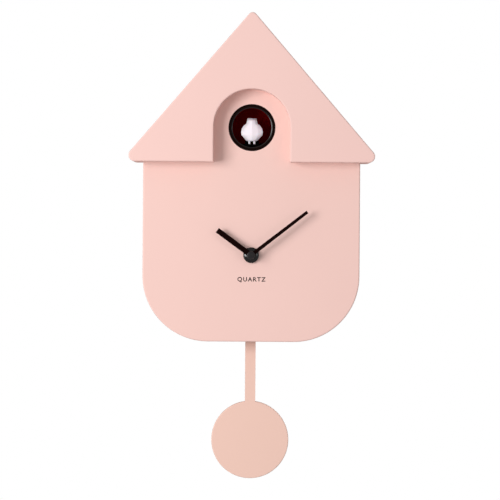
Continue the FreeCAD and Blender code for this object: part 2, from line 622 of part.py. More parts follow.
# A bent strip of spring steel presses on the flat end of each cell.
leaves = new_body("contact_leaves")
for row, level, pole in ROWS:
    side = "-" if pole > 0 else ""
    seat = f"{side}(tray_half - tray_wall - 0.4)"
    tip = f"{side}(cell_length - tray_half + tray_wall + 0.7)"
    back_of_tip = f"{side}(cell_length - tray_half + tray_wall + 1.1)"
    bends = [(seat, "5.5"), (tip, "1"), (tip, "-1"), (seat, "-5.5"),
             (seat, "-4.9"), (back_of_tip, "-0.8"), (back_of_tip, "0.8"), (seat, "4.9")]
    height = f"tray_z + {level} * cell_pitch"
    add(leaves, f"{height} - 3", f"{height} + 3", polygon(*[(x, f"{y} - cell_depth") for x, y in bends]),
        plane="XY_Plane")

door = new_body("battery_door")
add(door, "0.1", "tray_wall + 0.1", centred("0", "tray_z", "tray_half - 0.7", "tray_rise - 0.7"))
cut(door, "0.1", "0.6", *[centred("0", f"tray_z + tray_rise - {5 + 2 * k}", "9", "0.5") for k in range(4)])

# ---------------------------------------------------------------- loudspeaker
SPEAKER_AT = ("speaker_x", "0", "sound_z")
turned("speaker_frame", SPEAKER_AT, "depth",
       sleeve("cover_thick", "cover_thick + 1.5", "speaker_radius - 5", "speaker_radius"),
       [("cover_thick + 1.5", "speaker_radius - 4"), ("cover_thick + 1.5", "speaker_radius - 2.5"),
        ("cover_thick + 6.5", "10.5"), ("cover_thick + 6.5", "9")],
       sleeve("cover_thick + 6.5", "cover_thick + 7.5", "3.3", "10.5"))
turned("speaker_cone", SPEAKER_AT, "depth",
       [("cover_thick + 0.5", "speaker_radius - 5.1"), ("cover_thick + 1", "speaker_radius - 5.1"),
        ("cover_thick + 6.2", "4.2"), ("cover_thick + 5.7", "4")],
       sleeve("cover_thick + 5.7", "cover_thick + 6.1", "0", "4.15"),
       sleeve("cover_thick + 6.1", "cover_thick + 8.5", "2.7", "3.1"))
turned("speaker_magnet", SPEAKER_AT, "depth",
       sleeve("cover_thick + 7.5", "cover_thick + 11.5", "3.7", "9.5"),
       sleeve("cover_thick + 11.5", "cover_thick + 12.5", "0", "9.5"),
       sleeve("cover_thick + 6.8", "cover_thick + 11.5", "0", "2.4"))
screws("speaker_screws", SPEAKER_SPOTS, "cover_thick + 1.5", "1.2", from_wall=False)

# ---------------------------------------------------------------- circuit board and switches
board = new_body("circuit_board")
add(board, "board_rear", "board_front", centred("board_x", "sound_z", "board_width / 2", "board_height / 2"))
cut(board, "board_rear", "board_front", *[circle(x, z, "screw_radius + 0.2") for x, z in BOARD_SPOTS])
screws("board_screws", BOARD_SPOTS, "board_front", "board_rear - 5", from_wall=False)

BOXES = [("-11", "8", "5", "3.5", "2"), ("8", "-4", "4", "3", "1.6"), ("-12", "-8", "3", "6", "5"),
         ("13", "18", "6", "2.5", "6"), ("-4", "-22", "6", "2.5", "6"), ("-15", "20", "4", "2.5", "6"),
         ("3", "10", "1.6", "0.8", "0.6"), ("3", "6", "1.6", "0.8", "0.6"), ("3", "2", "1.6", "0.8", "0.6"),
         ("18", "4", "0.8", "1.6", "0.6"), ("15", "4", "0.8", "1.6", "0.6")]
parts = new_body("board_parts")
for across, up, half_width, half_height, tall in BOXES:
    add(parts, "board_front", f"board_front + {tall}",
        centred(f"board_x + {across}", f"sound_z + {up}", half_width, half_height))
add(parts, "board_front", "board_front + 9", circle("board_x + 10", "sound_z - 16", "4"),
    circle("board_x + 2", "sound_z - 12", "2.5"))

for name, height in (("mode", "switch_z"), ("volume", "volume_z")):
    switch = new_body(f"{name}_switch")
    add(switch, "board_rear - 5", "board_rear", centred("board_x", height, "6.5", "3.4"))
    cut(switch, "board_rear - 4.3", "board_rear - 1.9", centred("board_x", height, "5", "2.3"))
    cut(switch, "board_rear - 5", "board_rear - 4.3", centred("board_x", height, "4", "1.5"))
    slider = new_body(f"{name}_slider")
    add(slider, "board_rear - 4.25", "board_rear - 1.95", centred("board_x - 2", height, "2.4", "2.15"))
    add(slider, "1", "board_rear - 4.25", centred("board_x - 2", height, "1.6", "1.35"))
switch = new_body("button_switch")
add(switch, "board_rear - 4", "board_rear", centred("board_x", "button_z", "3.5", "3.5"))
cut(switch, "board_rear - 4", "board_rear - 1", circle("board_x", "button_z", "2.1"))
button = new_body("test_button")
add(button, "1", "board_rear - 2.2", circle("board_x", "button_z", "2.02"))

# ---------------------------------------------------------------- quartz movement and motion work
MOVEMENT = ("0", "hands_z", "movement_half", "movement_half")
MOVEMENT_ROOM = ("0", "hands_z", "movement_half - movement_wall", "movement_half - movement_wall")

# Front half of the movement's case, with the threaded bush that passes through the dial.
movement = new_body("movement_case")
add(movement, "movement_split", "movement_front", centred(*MOVEMENT))
cut(movement, "movement_split", "movement_front - movement_wall", centred(*MOVEMENT_ROOM))
add(movement, "movement_front - movement_wall", "bush_front", circle("0", "hands_z", "bush_radius"))
add(movement, "movement_front - movement_wall - 0.9", "movement_front", circle("0", "motion_z", "2.2"))
cut(movement, "movement_front - movement_wall", "bush_front", circle("0", "hands_z", "bush_bore"))
cut(movement, "movement_front - movement_wall - 0.9", "movement_front - 0.4",
    circle("0", "motion_z", "pin_radius + running_gap"))
rear = new_body("movement_cover")
add(rear, "movement_rear", "movement_split", centred(*MOVEMENT))
cut(rear, "movement_rear + movement_wall", "movement_split", centred(*MOVEMENT_ROOM))
add(rear, "movement_rear", "movement_rear + movement_wall + 3", circle("0", "hands_z", "3"))
cut(rear, "movement_rear + movement_wall", "movement_rear + movement_wall + 3",
    circle("0", "hands_z", "tube_bore"))
cut(rear, "movement_rear", "movement_rear + movement_wall", circle("0", "motion_z", "pin_radius + running_gap"))
turned("movement_coil", ("-15", "0", "hands_z"), "depth",
       sleeve("movement_rear + movement_wall", "movement_rear + movement_wall + 1", "2", "6"),
       sleeve("movement_rear + movement_wall + 1", "movement_split", "2", "5"))

turned("rubber_washer", ("0", "0", "hands_z"), "depth",
       sleeve("movement_front", "face_rear", "bush_radius + 0.1", "14"))
turned("hub_nut", ("0", "0", "hands_z"), "depth",
       [("case_depth", "bush_radius + 0.1"), ("case_depth", "nut_radius"),
        ("case_depth + nut_thick * 0.35", "nut_radius"),
        ("case_depth + nut_thick * 0.62", "nut_radius * 0.94"),
        ("case_depth + nut_thick * 0.84", "nut_radius * 0.82"),
        ("case_depth + nut_thick", "nut_radius * 0.64"), ("case_depth + nut_thick", "bush_radius + 0.1")])

# Each hand is one body with the wheel that turns it; the bar points away from twelve by its angle.
minute = new_body("minute_hand")
add(minute, "arbor_rear", "arbor_front", circle("0", "hands_z", "arbor_radius"))
wheel(minute, "motion_wheel_rear", "motion_wheel_front", "0", "hands_z", "minute_teeth", "clock_module", 105)
add(minute, "minute_hub_rear", "minute_hub_front", circle("0", "hands_z", "hub_radius"))
hour = new_body("hour_hand")
add(hour, "hour_wheel_rear", "hour_hub_front", circle("0", "hands_z", "hour_tube_radius"))
wheel(hour, "hour_wheel_rear", "hour_wheel_front", "0", "hands_z", "hour_teeth", "hour_module", 90)
add(hour, "hour_hub_rear", "hour_hub_front", circle("0", "hands_z", "hub_radius"))
for hand, front, angle, bar in (
        (minute, "minute_hub_front", "minute_hand_angle",
         [("-minute_hand_width / 2", "0"), ("minute_hand_width / 2", "0"),
          ("minute_tip_width / 2", "minute_hand_length"), ("-minute_tip_width / 2", "minute_hand_length")]),
        (hour, "hour_hub_front", "hour_hand_angle",
         [("-hour_hand_width / 2", "0"), ("hour_hand_width / 2", "0"),
          ("hour_hand_width / 2", "hour_hand_length"), ("-hour_hand_width / 2", "hour_hand_length")])):
    turn = f"{angle} * 1 deg"
    corners = [(f"({x}) * cos({turn}) + ({z}) * sin({turn})",
                f"hands_z - ({x}) * sin({turn}) + ({z}) * cos({turn})") for x, z in bar]
    add(hand, f"{front} - hand_thick", front, polygon(*corners))
cut(hour, "hour_wheel_rear", "hour_hub_front", circle("0", "hands_z", "tube_bore"))
turned("hub_cap", ("0", "0", "hands_z"), "depth",
       [("minute_hub_front", "arbor_radius + 0.05"), ("minute_hub_front", "hub_radius"),
        ("minute_hub_front + cap_height * 0.6", "hub_radius"),
        ("minute_hub_front + cap_height * 0.86", "hub_radius * 0.9"),
        ("minute_hub_front + cap_height", "hub_radius * 0.68"),
        ("minute_hub_front + cap_height", "0"), ("arbor_front + 0.1", "0"),
        ("arbor_front + 0.1", "arbor_radius + 0.05")])

motion = new_body("motion_wheel")
add(motion, "3", "movement_front - movement_wall - 0.1", circle("0", "motion_z", "pin_radius"))
wheel(motion, "motion_wheel_rear", "motion_wheel_front", "0", "motion_z", "motion_teeth", "clock_module", -90)
wheel(motion, "motion_wheel_front", "movement_front - movement_wall - 1", "0", "motion_z",
      "motion_pinion_teeth", "hour_module", -72)
knob = new_body("set_knob")
add(knob, "0.6", "0.6 + knob_length", circle("0", "motion_z", "knob_radius"))
cut(knob, "3", "0.6 + knob_length", circle("0", "motion_z", "pin_radius + 0.03"))
GRIP = "(knob_radius + 0.7)"
cut(knob, "0.6", "0.6 + knob_length",
    *[circle(f"{GRIP} * cos({turn} * 1 deg)", f"motion_z + {GRIP} * sin({turn} * 1 deg)", "1.3")
      for turn in range(0, 360, 30)])

# ---------------------------------------------------------------- bird's doorway, tube and frame
turned("doorway_ring", ("0", "0", "bird_z"), "depth",
       [("ring_rear", "tube_radius"), ("ring_rear", "tube_outside"), ("frame_front", "tube_outside"),
        ("frame_front", "ring_flange"), ("face_rear", "ring_flange"), ("face_rear", "ring_outside"),
        ("ring_front", "ring_outside"), ("ring_front", "ring_outside - 0.6")])
tube = turned("bird_tube", ("0", "0", "bird_z"), "depth",
              [("tube_rear", "0"), ("tube_rear", "tube_outside"), ("ring_rear", "tube_outside"),
               ("ring_rear", "tube_radius"), ("tube_rear + 1.5", "tube_radius"), ("tube_rear + 1.5", "0")],
              sleeve("frame_rear - 1.5", "frame_rear", "tube_outside", "tube_outside + 2.5"))
cut(tube, "tube_rear + 2", "frame_rear - 0.5",
    rectangle("-slider_width / 4 - 0.6", "slider_width / 4 + 0.6", "-tube_outside - 3", "-tube_radius / 2"),
    plane="XY_Plane")
cut(tube, "frame_rear - 1.5", "frame_rear",
    rectangle("-rail_outside - 0.4", "rail_outside + 0.4", "-tube_outside - 3", "-tube_outside - 0.2"),
    plane="XY_Plane")

# A front plate that clamps the doorway ring, two slotted rails for the slider, and the motor's bracket.
frame = new_body("bird_frame")
add(frame, "frame_rear", "frame_front", rectangle("-frame_half", "frame_half", "frame_floor_z", "frame_top_z"))
cut(frame, "frame_rear", "frame_front", circle("0", "bird_z", "tube_outside + 0.1"),
    *[circle(x, z, "screw_radius + 0.2") for x, z in FRAME_SCREWS])
RAIL_FLOOR = "pinion_z - pinion_radius - rack_module - 1"
add(frame, "slider_rear - 2", "frame_rear",
    rectangle("rail_inside", "rail_outside", RAIL_FLOOR, "bird_z - tube_outside - 0.3"),
    rectangle("-rail_outside", "-rail_inside", RAIL_FLOOR, "bird_z - tube_outside - 0.3"))
add(frame, "slider_rear - 2", "frame_rear",
    rectangle("-rail_outside", "rail_outside", f"{RAIL_FLOOR} - 1.5", RAIL_FLOOR))
cut(frame, "slider_rear - 0.8", "frame_rear - 0.3",
    rectangle("-rail_outside - 1", "rail_outside + 1", "slider_top_z - 3.9", "slider_top_z - 1.9"))
cut(frame, "-rail_outside", "rail_outside", circle("-pinion_depth", "pinion_z", "pin_radius + running_gap"),
    plane="YZ_Plane")
add(frame, "motor_plate_x", "motor_x",
    rectangle("-frame_rear", "-(pinion_depth - motor_radius - 3)",
              "frame_floor_z", "motor_z + motor_radius + 2"), plane="YZ_Plane")
cut(frame, "motor_plate_x", "motor_x", circle("-pinion_depth", "motor_z", "3"), plane="YZ_Plane")
screws("frame_screws", FRAME_SCREWS, "frame_rear", "frame_front + 3.2")

# ---------------------------------------------------------------- bird and its carriage
carriage = new_body("bird_carriage")
add(carriage, "tube_rear + 4", "stage_front",
    rectangle("-stage_half", "stage_half", "stage_z - stage_thick", "stage_z"))
add(carriage, "stage_front - 24", "stage_front - 13",
    rectangle("-stage_half + 0.4", "stage_half - 0.4", "stage_z", "bird_z - bird_drop - 0.1"))
add(carriage, "slider_front - 12", "slider_front - 1",
    rectangle("-slider_width / 4", "slider_width / 4", "slider_top_z", "stage_z - stage_thick"))
add(carriage, "slider_rear", "slider_front",
    rectangle("-slider_width / 2", "slider_width / 2", "slider_floor_z", "slider_top_z"))
add(carriage, "slider_rear", "slider_front",
    rectangle("-rail_outside + 0.3", "rail_outside - 0.3", "slider_top_z - 3.8", "slider_top_z - 2"))
cut(carriage, "stage_front - 9.15 - leg_radius", "stage_front - 8.85 + leg_radius",
    rectangle("-leg_spread / 2 - leg_radius - 0.15", "leg_spread / 2 + leg_radius + 0.15",
              "stage_z - 1", "stage_z"))
TOOTH = "(rack_module * 3.1416 / 4)"
gaps = []
for k in range(-1, math.ceil(value("bird_travel") / (math.pi * value("rack_module"))) + 2):
    middle = f"-pinion_depth + {k} * rack_module * 3.1416"
    gaps.append(polygon((f"{middle} - {TOOTH} - rack_module * 0.42", "slider_floor_z - 0.05"),
                        (f"{middle} + {TOOTH} + rack_module * 0.42", "slider_floor_z - 0.05"),
                        (f"{middle} + {TOOTH} - rack_module * 0.4", "slider_floor_z + rack_module * 2.2"),
                        (f"{middle} - {TOOTH} + rack_module * 0.4", "slider_floor_z + rack_module * 2.2")))
cut(carriage, "-slider_width / 2", "slider_width / 2", *gaps, plane="YZ_Plane")

# Levels of the bird, from its flat crown down: height and half width as parts of the whole, then how far
# the crease of the breast lies behind the breast's front.
LEVELS = [(1.000, 0.440, 4.6), (0.925, 0.425, 1.8), (0.800, 0.460, 1.2), (0.735, 0.500, 1.0), (0.690, 0.670, 0.9),
          (0.600, 0.830, 0.6), (0.500, 0.935, 0.3), (0.395, 1.000, 0.0), (0.310, 0.975, 0.1), (0.220, 0.860, 0.4),
          (0.135, 0.710, 0.9), (0.055, 0.585, 1.7), (0.000, 0.520, 2.4)]
CHEEK, CHEEK_BACK, WING_BACK = 0.58, 1.3, 4.2


def bird_shape():
    """A solid of flat facets between rings of seven corners, standing on two round legs."""
    half, tall, long = value("bird_width") / 2, value("bird_height"), value("bird_length")
    breast, floor = value("stage_front") - 1.2, value("bird_z") - value("bird_drop")
    rings = []
    for height, width, crease in LEVELS:
        z = floor + height * tall
        tail = long * (0.62 + 0.38 * math.sin(math.pi * min(1, max(0, 0.95 - height))))
        corners = [(0, crease), (CHEEK * width, crease + CHEEK_BACK), (width, crease + WING_BACK),
                   (width * 0.45, tail)]
        side = [(width_part * half, back) for width_part, back in corners]
        ring = side + [(-x, back) for x, back in reversed(side[1:])]
        rings.append([Vector(x, back - breast, z) for x, back in ring])
    count = len(rings[0])
    faces = [Part.Face(Part.makePolygon(ring + [ring[0]])) for ring in (rings[0], rings[-1])]
    for upper, lower in zip(rings, rings[1:]):
        for k in range(count):
            a, b, c, d = upper[k], upper[(k + 1) % count], lower[(k + 1) % count], lower[k]
            splits = ((a, b, c), (a, c, d)) if k < 3 else ((a, b, d), (b, c, d))
            faces += [Part.Face(Part.makePolygon([*corners, corners[0]])) for corners in splits]
    body = Part.makeSolid(Part.makeShell(faces))
    if body.Volume < 0:
        body.reverse()
    leg_depth = value("stage_front") - 9
    leg_floor = value("stage_z") - 0.9
    for side in (-1, 1):
        foot = Vector(side * value("leg_spread") / 2, -leg_depth, leg_floor)
        body = body.fuse(Part.makeCylinder(value("leg_radius"), floor + 2 - leg_floor, foot))
    return body


computed("bird", bird_shape())

gear = new_body("reduction_gear")
add(gear, "-rail_outside - 0.6", "gear_end_x + 0.6", circle("-pinion_depth", "pinion_z", "pin_radius"),
    plane="YZ_Plane")
wheel(gear, "-slider_width / 2 + 0.5", "slider_width / 2 - 0.5", "-pinion_depth", "pinion_z",
      "pinion_teeth", "rack_module", 105, plane="YZ_Plane")
wheel(gear, "gear_x", "gear_end_x", "-pinion_depth", "pinion_z", "gear_teeth", "gear_module", -90,
      plane="YZ_Plane")
turned("bird_motor", ("motor_x", "-pinion_depth", "motor_z"), "x",
       sleeve("0", "motor_length", "pin_radius + running_gap", "motor_radius"),
       sleeve("-1.5", "0", "pin_radius + running_gap", "2.9"))
pinion = new_body("motor_pinion")
add(pinion, "gear_x - 0.3", "motor_x + motor_length - 2", circle("-pinion_depth", "motor_z", "pin_radius"),
    plane="YZ_Plane")
wheel(pinion, "gear_x - 0.3", "gear_end_x + 0.3", "-pinion_depth", "motor_z",
      "motor_teeth", "gear_module", 112.5, plane="YZ_Plane")

# ---------------------------------------------------------------- pendulum
drive = new_body("drive_case")
add(drive, "drive_lid", "drive_front", centred("0", "drive_z", "drive_width / 2", "drive_height / 2"))
cut(drive, "drive_lid", "drive_front - 2", circle("0", "magnet_z", "7"))
cut(drive, "drive_lid", "drive_front - 5", circle("0", "pivot_z", "pin_radius + 0.02"))
cut(drive, "drive_lid", "drive_front", *[circle(x, z, "screw_radius + 0.2") for x, z in DRIVE_SCREWS])
lid = new_body("drive_cover")
add(lid, "drive_rear", "drive_lid", centred("0", "drive_z", "drive_width / 2", "drive_height / 2"))
cut(lid, "drive_rear", "drive_lid", circle("0", "pivot_z", "pin_radius + 0.1"),
    *[circle(x, z, "screw_radius + 0.2") for x, z in DRIVE_SCREWS])
turned("drive_coil", ("0", "0", "magnet_z"), "depth", sleeve("drive_lid", "drive_lid + 0.8", "2", "6.8"),
       sleeve("drive_lid + 0.8", "drive_front - 2", "2", "6"))
screws("drive_screws", DRIVE_SCREWS, "drive_rear", "drive_front + 3.2")
turned("pivot_pin", ("0", "0", "pivot_z"), "depth",
       sleeve("arm_rear - 0.1", "drive_front - 5", "0", "pin_radius"),
       sleeve("arm_rear - 1.1", "arm_rear - 0.1", "0", "2"),
       sleeve("arm_front + 0.1", "drive_rear", "0", "2.2"))

arm = new_body("pendulum_arm")
add(arm, "arm_rear", "arm_front", rectangle("-5.5", "5.5", "hook_z - 5", "pivot_z + 5"))
cut(arm, "arm_rear", "arm_front", circle("0", "pivot_z", "pin_radius + running_gap"))
add(arm, "rod_rear - 0.5", "arm_rear", circle("0", "hook_z", "1.5"))
add(arm, "rod_rear - 1.7", "rod_rear - 0.5", circle("0", "hook_z", "2.6"))
turned("arm_magnet", ("0", "0", "magnet_z"), "depth", sleeve("arm_front", "arm_front + 3", "0", "5"))

# The strip and the bob's front are one moulding with a common front face.
blade = new_body("pendulum_blade")
add(blade, "bob_rear", "rod_depth", circle("0", "bob_z", "bob_radius"))
round_edges(blade, front_edges(blade, value("rod_depth")), "edge_round * 0.7")
cut(blade, "bob_rear", "rod_depth - 1.6", circle("0", "bob_z", "bob_radius - 1.6"))
add(blade, "rod_rear", "rod_depth",
    rectangle("-rod_width / 2", "rod_width / 2", "bob_z + bob_radius - 1.8", "hook_z + 4.5"))
add(blade, "bob_rear + 2.4", "rod_depth", circle("bob_radius * 0.7", "bob_z", "3"),
    circle("-bob_radius * 0.7", "bob_z", "3"))
cut(blade, "rod_rear", "rod_depth", circle("0", "hook_z", "1.6"))
cut(blade, "rod_rear", "rod_depth", circle("0", "hook_z - 5", "2.9"))
cut(blade, "rod_rear", "rod_depth", rectangle("-1.6", "1.6", "hook_z - 5", "hook_z"))
cut(blade, "bob_rear + 2.4", "rod_depth - 2", circle("bob_radius * 0.7", "bob_z", "screw_radius + screw_gap"),
    circle("-bob_radius * 0.7", "bob_z", "screw_radius + screw_gap"))
turned("bob_weight", ("0", "0", "bob_z"), "depth", sleeve("bob_rear + 2.6", "rod_depth - 1.6", "0", "15"))
bob_lid = new_body("bob_cover")
BOB_SCREWS = [("bob_radius * 0.7", "bob_z"), ("-bob_radius * 0.7", "bob_z")]
add(bob_lid, "bob_rear", "bob_rear + 2.4", circle("0", "bob_z", "bob_radius - 1.9"))
cut(bob_lid, "bob_rear", "bob_rear + 2.4", *[circle(x, z, "screw_radius + 0.2") for x, z in BOB_SCREWS])
cut(bob_lid, "bob_rear", "bob_rear + 1.5", *[circle(x, z, "head_radius + 0.15") for x, z in BOB_SCREWS])
screws("bob_screws", BOB_SCREWS, "bob_rear + 1.5", "rod_depth - 2.4")

# ---------------------------------------------------------------- wires inside the case
def wire_shape(points, radius, bend):
    """A round wire through (x, depth, z) points, straight between tangent bends."""
    corners = [Vector(x, -depth, z) for x, depth, z in points]
    edges = []
    start = corners[0]
    for before, corner, after in zip(corners, corners[1:], corners[2:]):
        arriving = (before - corner).normalize()
        leaving = (after - corner).normalize()
        half_turn = arriving.getAngle(leaving) / 2
        reach = bend / math.tan(half_turn)
        first, last = corner + arriving * reach, corner + leaving * reach
        inward = (arriving + leaving).normalize()
        middle = corner + inward * (bend / math.sin(half_turn) - bend)
        edges += [Part.makeLine(start, first), Part.Arc(first, middle, last).toShape()]
        start = last
    edges.append(Part.makeLine(start, corners[-1]))
    direction = corners[1] - corners[0]
    section = Part.Wire(Part.makeCircle(radius, corners[0], direction))
    return Part.Wire(edges).makePipeShell([section], True, True)


board_x, sound_z, parts_top = value("board_x"), value("sound_z"), value("board_front") + 6.05
speaker_edge = (value("speaker_radius") - 1.3) * math.sqrt(0.5)
coil_x, coil_z = value("speaker_x") + speaker_edge, sound_z + speaker_edge
motor_end, motor_axis = value("motor_x") + value("motor_length"), value("pinion_depth")
tray_top = value("tray_z") + value("tray_rise")
ROUTES = {
    "speaker_wire": [(coil_x, value("cover_thick") + 1.55, coil_z), (coil_x, 22, coil_z),
                     (board_x - 12, 22, coil_z), (board_x - 12, 22, sound_z - 8),
                     (board_x - 12, value("board_front") + 5.05, sound_z - 8)],
    "motor_wire": [(motor_end + 0.05, motor_axis, value("motor_z") - 5),
                   (board_x - 15, motor_axis, value("motor_z") - 5), (board_x - 15, motor_axis, sound_z + 20),
                   (board_x - 15, parts_top, sound_z + 20)],
    "drive_wire": [(16, value("drive_rear") - 0.05, value("drive_z")), (16, 26, value("drive_z")),
                   (board_x - 4, 26, value("drive_z")), (board_x - 4, 26, sound_z - 22),
                   (board_x - 4, parts_top, sound_z - 22)],
    "battery_wire": [(24, value("cell_depth"), tray_top + 0.05), (24, value("cell_depth"), sound_z - 10),
                     (24, 26, sound_z - 10), (board_x + 13, 26, sound_z - 10),
                     (board_x + 13, 26, sound_z + 18), (board_x + 13, parts_top, sound_z + 18)],
}
for label, points in ROUTES.items():
    computed(label, wire_shape(points, 0.6, 3))

# ---------------------------------------------------------------- checks and export
doc.recompute()
for thing in doc.Objects:
    if "Invalid" in thing.State or "Error" in thing.State:
        raise RuntimeError(f"{thing.Label} did not recompute")
os.makedirs("parts", exist_ok=True)
for piece in PIECES:
    shape = piece.Shape
    if shape.isNull() or not shape.isValid() or not shape.Solids:
        raise RuntimeError(f"{piece.Label} has no valid solid")
    shape.exportStep(f"parts/{piece.Label}.step")
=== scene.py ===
import math
import bmesh
import bpy
import numpy as np
from mathutils import Euler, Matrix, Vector


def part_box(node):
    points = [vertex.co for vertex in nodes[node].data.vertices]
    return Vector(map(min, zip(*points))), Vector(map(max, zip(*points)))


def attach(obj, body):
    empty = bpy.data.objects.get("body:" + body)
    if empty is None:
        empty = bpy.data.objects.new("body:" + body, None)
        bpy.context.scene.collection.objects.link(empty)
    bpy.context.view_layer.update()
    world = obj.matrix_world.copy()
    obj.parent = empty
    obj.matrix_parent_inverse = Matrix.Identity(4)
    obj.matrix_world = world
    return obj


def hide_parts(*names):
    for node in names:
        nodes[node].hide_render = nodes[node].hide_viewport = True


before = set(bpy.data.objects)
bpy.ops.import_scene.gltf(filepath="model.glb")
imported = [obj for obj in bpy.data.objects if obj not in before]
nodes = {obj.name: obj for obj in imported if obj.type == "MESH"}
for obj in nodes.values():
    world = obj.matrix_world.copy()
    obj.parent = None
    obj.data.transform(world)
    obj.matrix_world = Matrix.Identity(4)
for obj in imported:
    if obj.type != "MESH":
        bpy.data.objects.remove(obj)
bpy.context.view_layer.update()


# ---------------------------------------------------------------- studio
# A plain white floor under the hanging clock, which shows from above only, and an even white sky. A large
# soft light stands to the left of the camera, a small weak one to its right, and one behind for the back.
def grid_mesh(name, points, closed_u=False, closed_v=False, smooth=True):
    """A mesh of quads over an array of points; rows and columns may close on themselves."""
    rows, columns = points.shape[:2]
    u = np.arange(rows if closed_u else rows - 1)
    v = np.arange(columns if closed_v else columns - 1)
    i, j = np.meshgrid(u, v, indexing="ij")
    following_i, following_j = (i + 1) % rows, (j + 1) % columns
    quads = np.stack([i * columns + j, following_i * columns + j,
                      following_i * columns + following_j, i * columns + following_j], -1).reshape(-1, 4)
    mesh = bpy.data.meshes.new(name)
    mesh.from_pydata(points.reshape(-1, 3).tolist(), [], quads.tolist())
    mesh.polygons.foreach_set("use_smooth", np.full(len(quads), smooth))
    mesh.update()
    return mesh


def place(name, mesh, material=None):
    """Links a finished mesh as an object at the origin."""
    thing = bpy.data.objects.new(name, mesh)
    bpy.context.scene.collection.objects.link(thing)
    if material:
        mesh.materials.append(material)
    return thing


FLOOR_HALF, FLOOR_LEVEL, SKY_LIGHT = 1.6, -0.85, 0.46
edge = np.array([-FLOOR_HALF, FLOOR_HALF])
floor_x, floor_y = np.meshgrid(edge, edge, indexing="ij")
paint = bpy.data.materials.new("floor_white")
paint.use_nodes = True
paint_shader = paint.node_tree.nodes["Principled BSDF"]
paint_shader.inputs["Base Color"].default_value = (0.80, 0.80, 0.80, 1)
paint_shader.inputs["Roughness"].default_value = 0.9
paint_shader.inputs["Emission Color"].default_value = (1, 1, 1, 1)
paint_shader.inputs["Emission Strength"].default_value = 1.0
see_through = paint.node_tree.nodes.new("ShaderNodeBsdfTransparent")
one_sided = paint.node_tree.nodes.new("ShaderNodeMixShader")
side_of = paint.node_tree.nodes.new("ShaderNodeNewGeometry")
paint.node_tree.links.new(side_of.outputs["Backfacing"], one_sided.inputs[0])
paint.node_tree.links.new(paint_shader.outputs[0], one_sided.inputs[1])
paint.node_tree.links.new(see_through.outputs[0], one_sided.inputs[2])
paint.node_tree.links.new(one_sided.outputs[0], paint.node_tree.nodes["Material Output"].inputs[0])
floor_points = np.stack([floor_x, floor_y, np.full_like(floor_x, FLOOR_LEVEL)], -1)
floor = place("floor", grid_mesh("floor", floor_points), paint)
floor.visible_diffuse = False
floor.visible_glossy = False

# The sky looks plain white and lights the clock with about half of that.
world = bpy.data.worlds.new("sky")
world.use_nodes = True
sky = world.node_tree.nodes["Background"]
sky.inputs["Color"].default_value = (1, 1, 1, 1)
ray = world.node_tree.nodes.new("ShaderNodeLightPath")
lift = world.node_tree.nodes.new("ShaderNodeMath")
lift.operation = "MULTIPLY_ADD"
lift.inputs[1].default_value = 1 - SKY_LIGHT
lift.inputs[2].default_value = SKY_LIGHT
world.node_tree.links.new(ray.outputs["Is Camera Ray"], lift.inputs[0])
world.node_tree.links.new(lift.outputs[0], sky.inputs["Strength"])
bpy.context.scene.world = world
bpy.context.scene.view_settings.view_transform = "Standard"


def soft_light(name, place_at, aim, size, watts):
    """A square area light that faces a point."""
    light = bpy.data.lights.new(name, "AREA")
    light.size = size
    light.energy = watts
    lamp = bpy.data.objects.new(name, light)
    lamp.location = place_at
    lamp.rotation_euler = (Vector(aim) - Vector(place_at)).to_track_quat("-Z", "Y").to_euler()
    bpy.context.scene.collection.objects.link(lamp)


AIM = (0, -0.06, -0.12)
soft_light("key", (-1.04, -1.32, 0.0), AIM, 0.82, 20.8)
soft_light("fill", (1.5, -1.7, 0.0), AIM, 0.35, 2)
soft_light("rear", (0.9, 1.9, 0.1), AIM, 1.0, 14)

# The camera stands three metres in front of the roof, a little above the hands' hub, and looks square at
# the wall, rolled by under half a degree. Its frame is shifted down to hold the pendulum.
CAMERA_DISTANCE, CAMERA_LEVEL, CAMERA_SIDE, CAMERA_ROLL = 3.0, -0.1203, -0.00116, -0.40
ROOF_FRONT, LENS, FRAME_DROP = 0.079, 248.2, -0.0606
camera_data = bpy.data.cameras.new("camera")
camera_data.sensor_width = 36
camera_data.lens = LENS
camera_data.shift_y = FRAME_DROP
camera = bpy.data.objects.new("camera", camera_data)
camera.location = (CAMERA_SIDE, -(ROOF_FRONT + CAMERA_DISTANCE), CAMERA_LEVEL)
camera.rotation_euler = Euler((math.radians(90), math.radians(CAMERA_ROLL), 0), "XYZ")
bpy.context.scene.collection.objects.link(camera)
bpy.context.scene.camera = camera


# ---------------------------------------------------------------- roof and house
# Two injection-moulded shells in matt pink ABS. The tool is finely spark-eroded, so the skin is smooth to
# the hand and has no gloss; the roof slides over the house's gable and is screwed on from inside.
class Field:
    """A socket of a material's nodes that takes part in arithmetic."""

    def __init__(self, finish, socket):
        self.finish, self.socket = finish, socket

    def math(self, operation, other=None, reflected=False):
        values = [self] if other is None else [other, self] if reflected else [self, other]
        return self.finish.node("ShaderNodeMath", {"operation": operation}, dict(enumerate(values)))

    def __add__(self, other):
        return self.math("ADD", other)

    def __radd__(self, other):
        return self.math("ADD", other)

    def __sub__(self, other):
        return self.math("SUBTRACT", other)

    def __rsub__(self, other):
        return self.math("SUBTRACT", other, True)

    def __mul__(self, other):
        return self.math("MULTIPLY", other)

    def __gt__(self, other):
        return self.math("GREATER_THAN", other)

    def __lt__(self, other):
        return self.math("LESS_THAN", other)


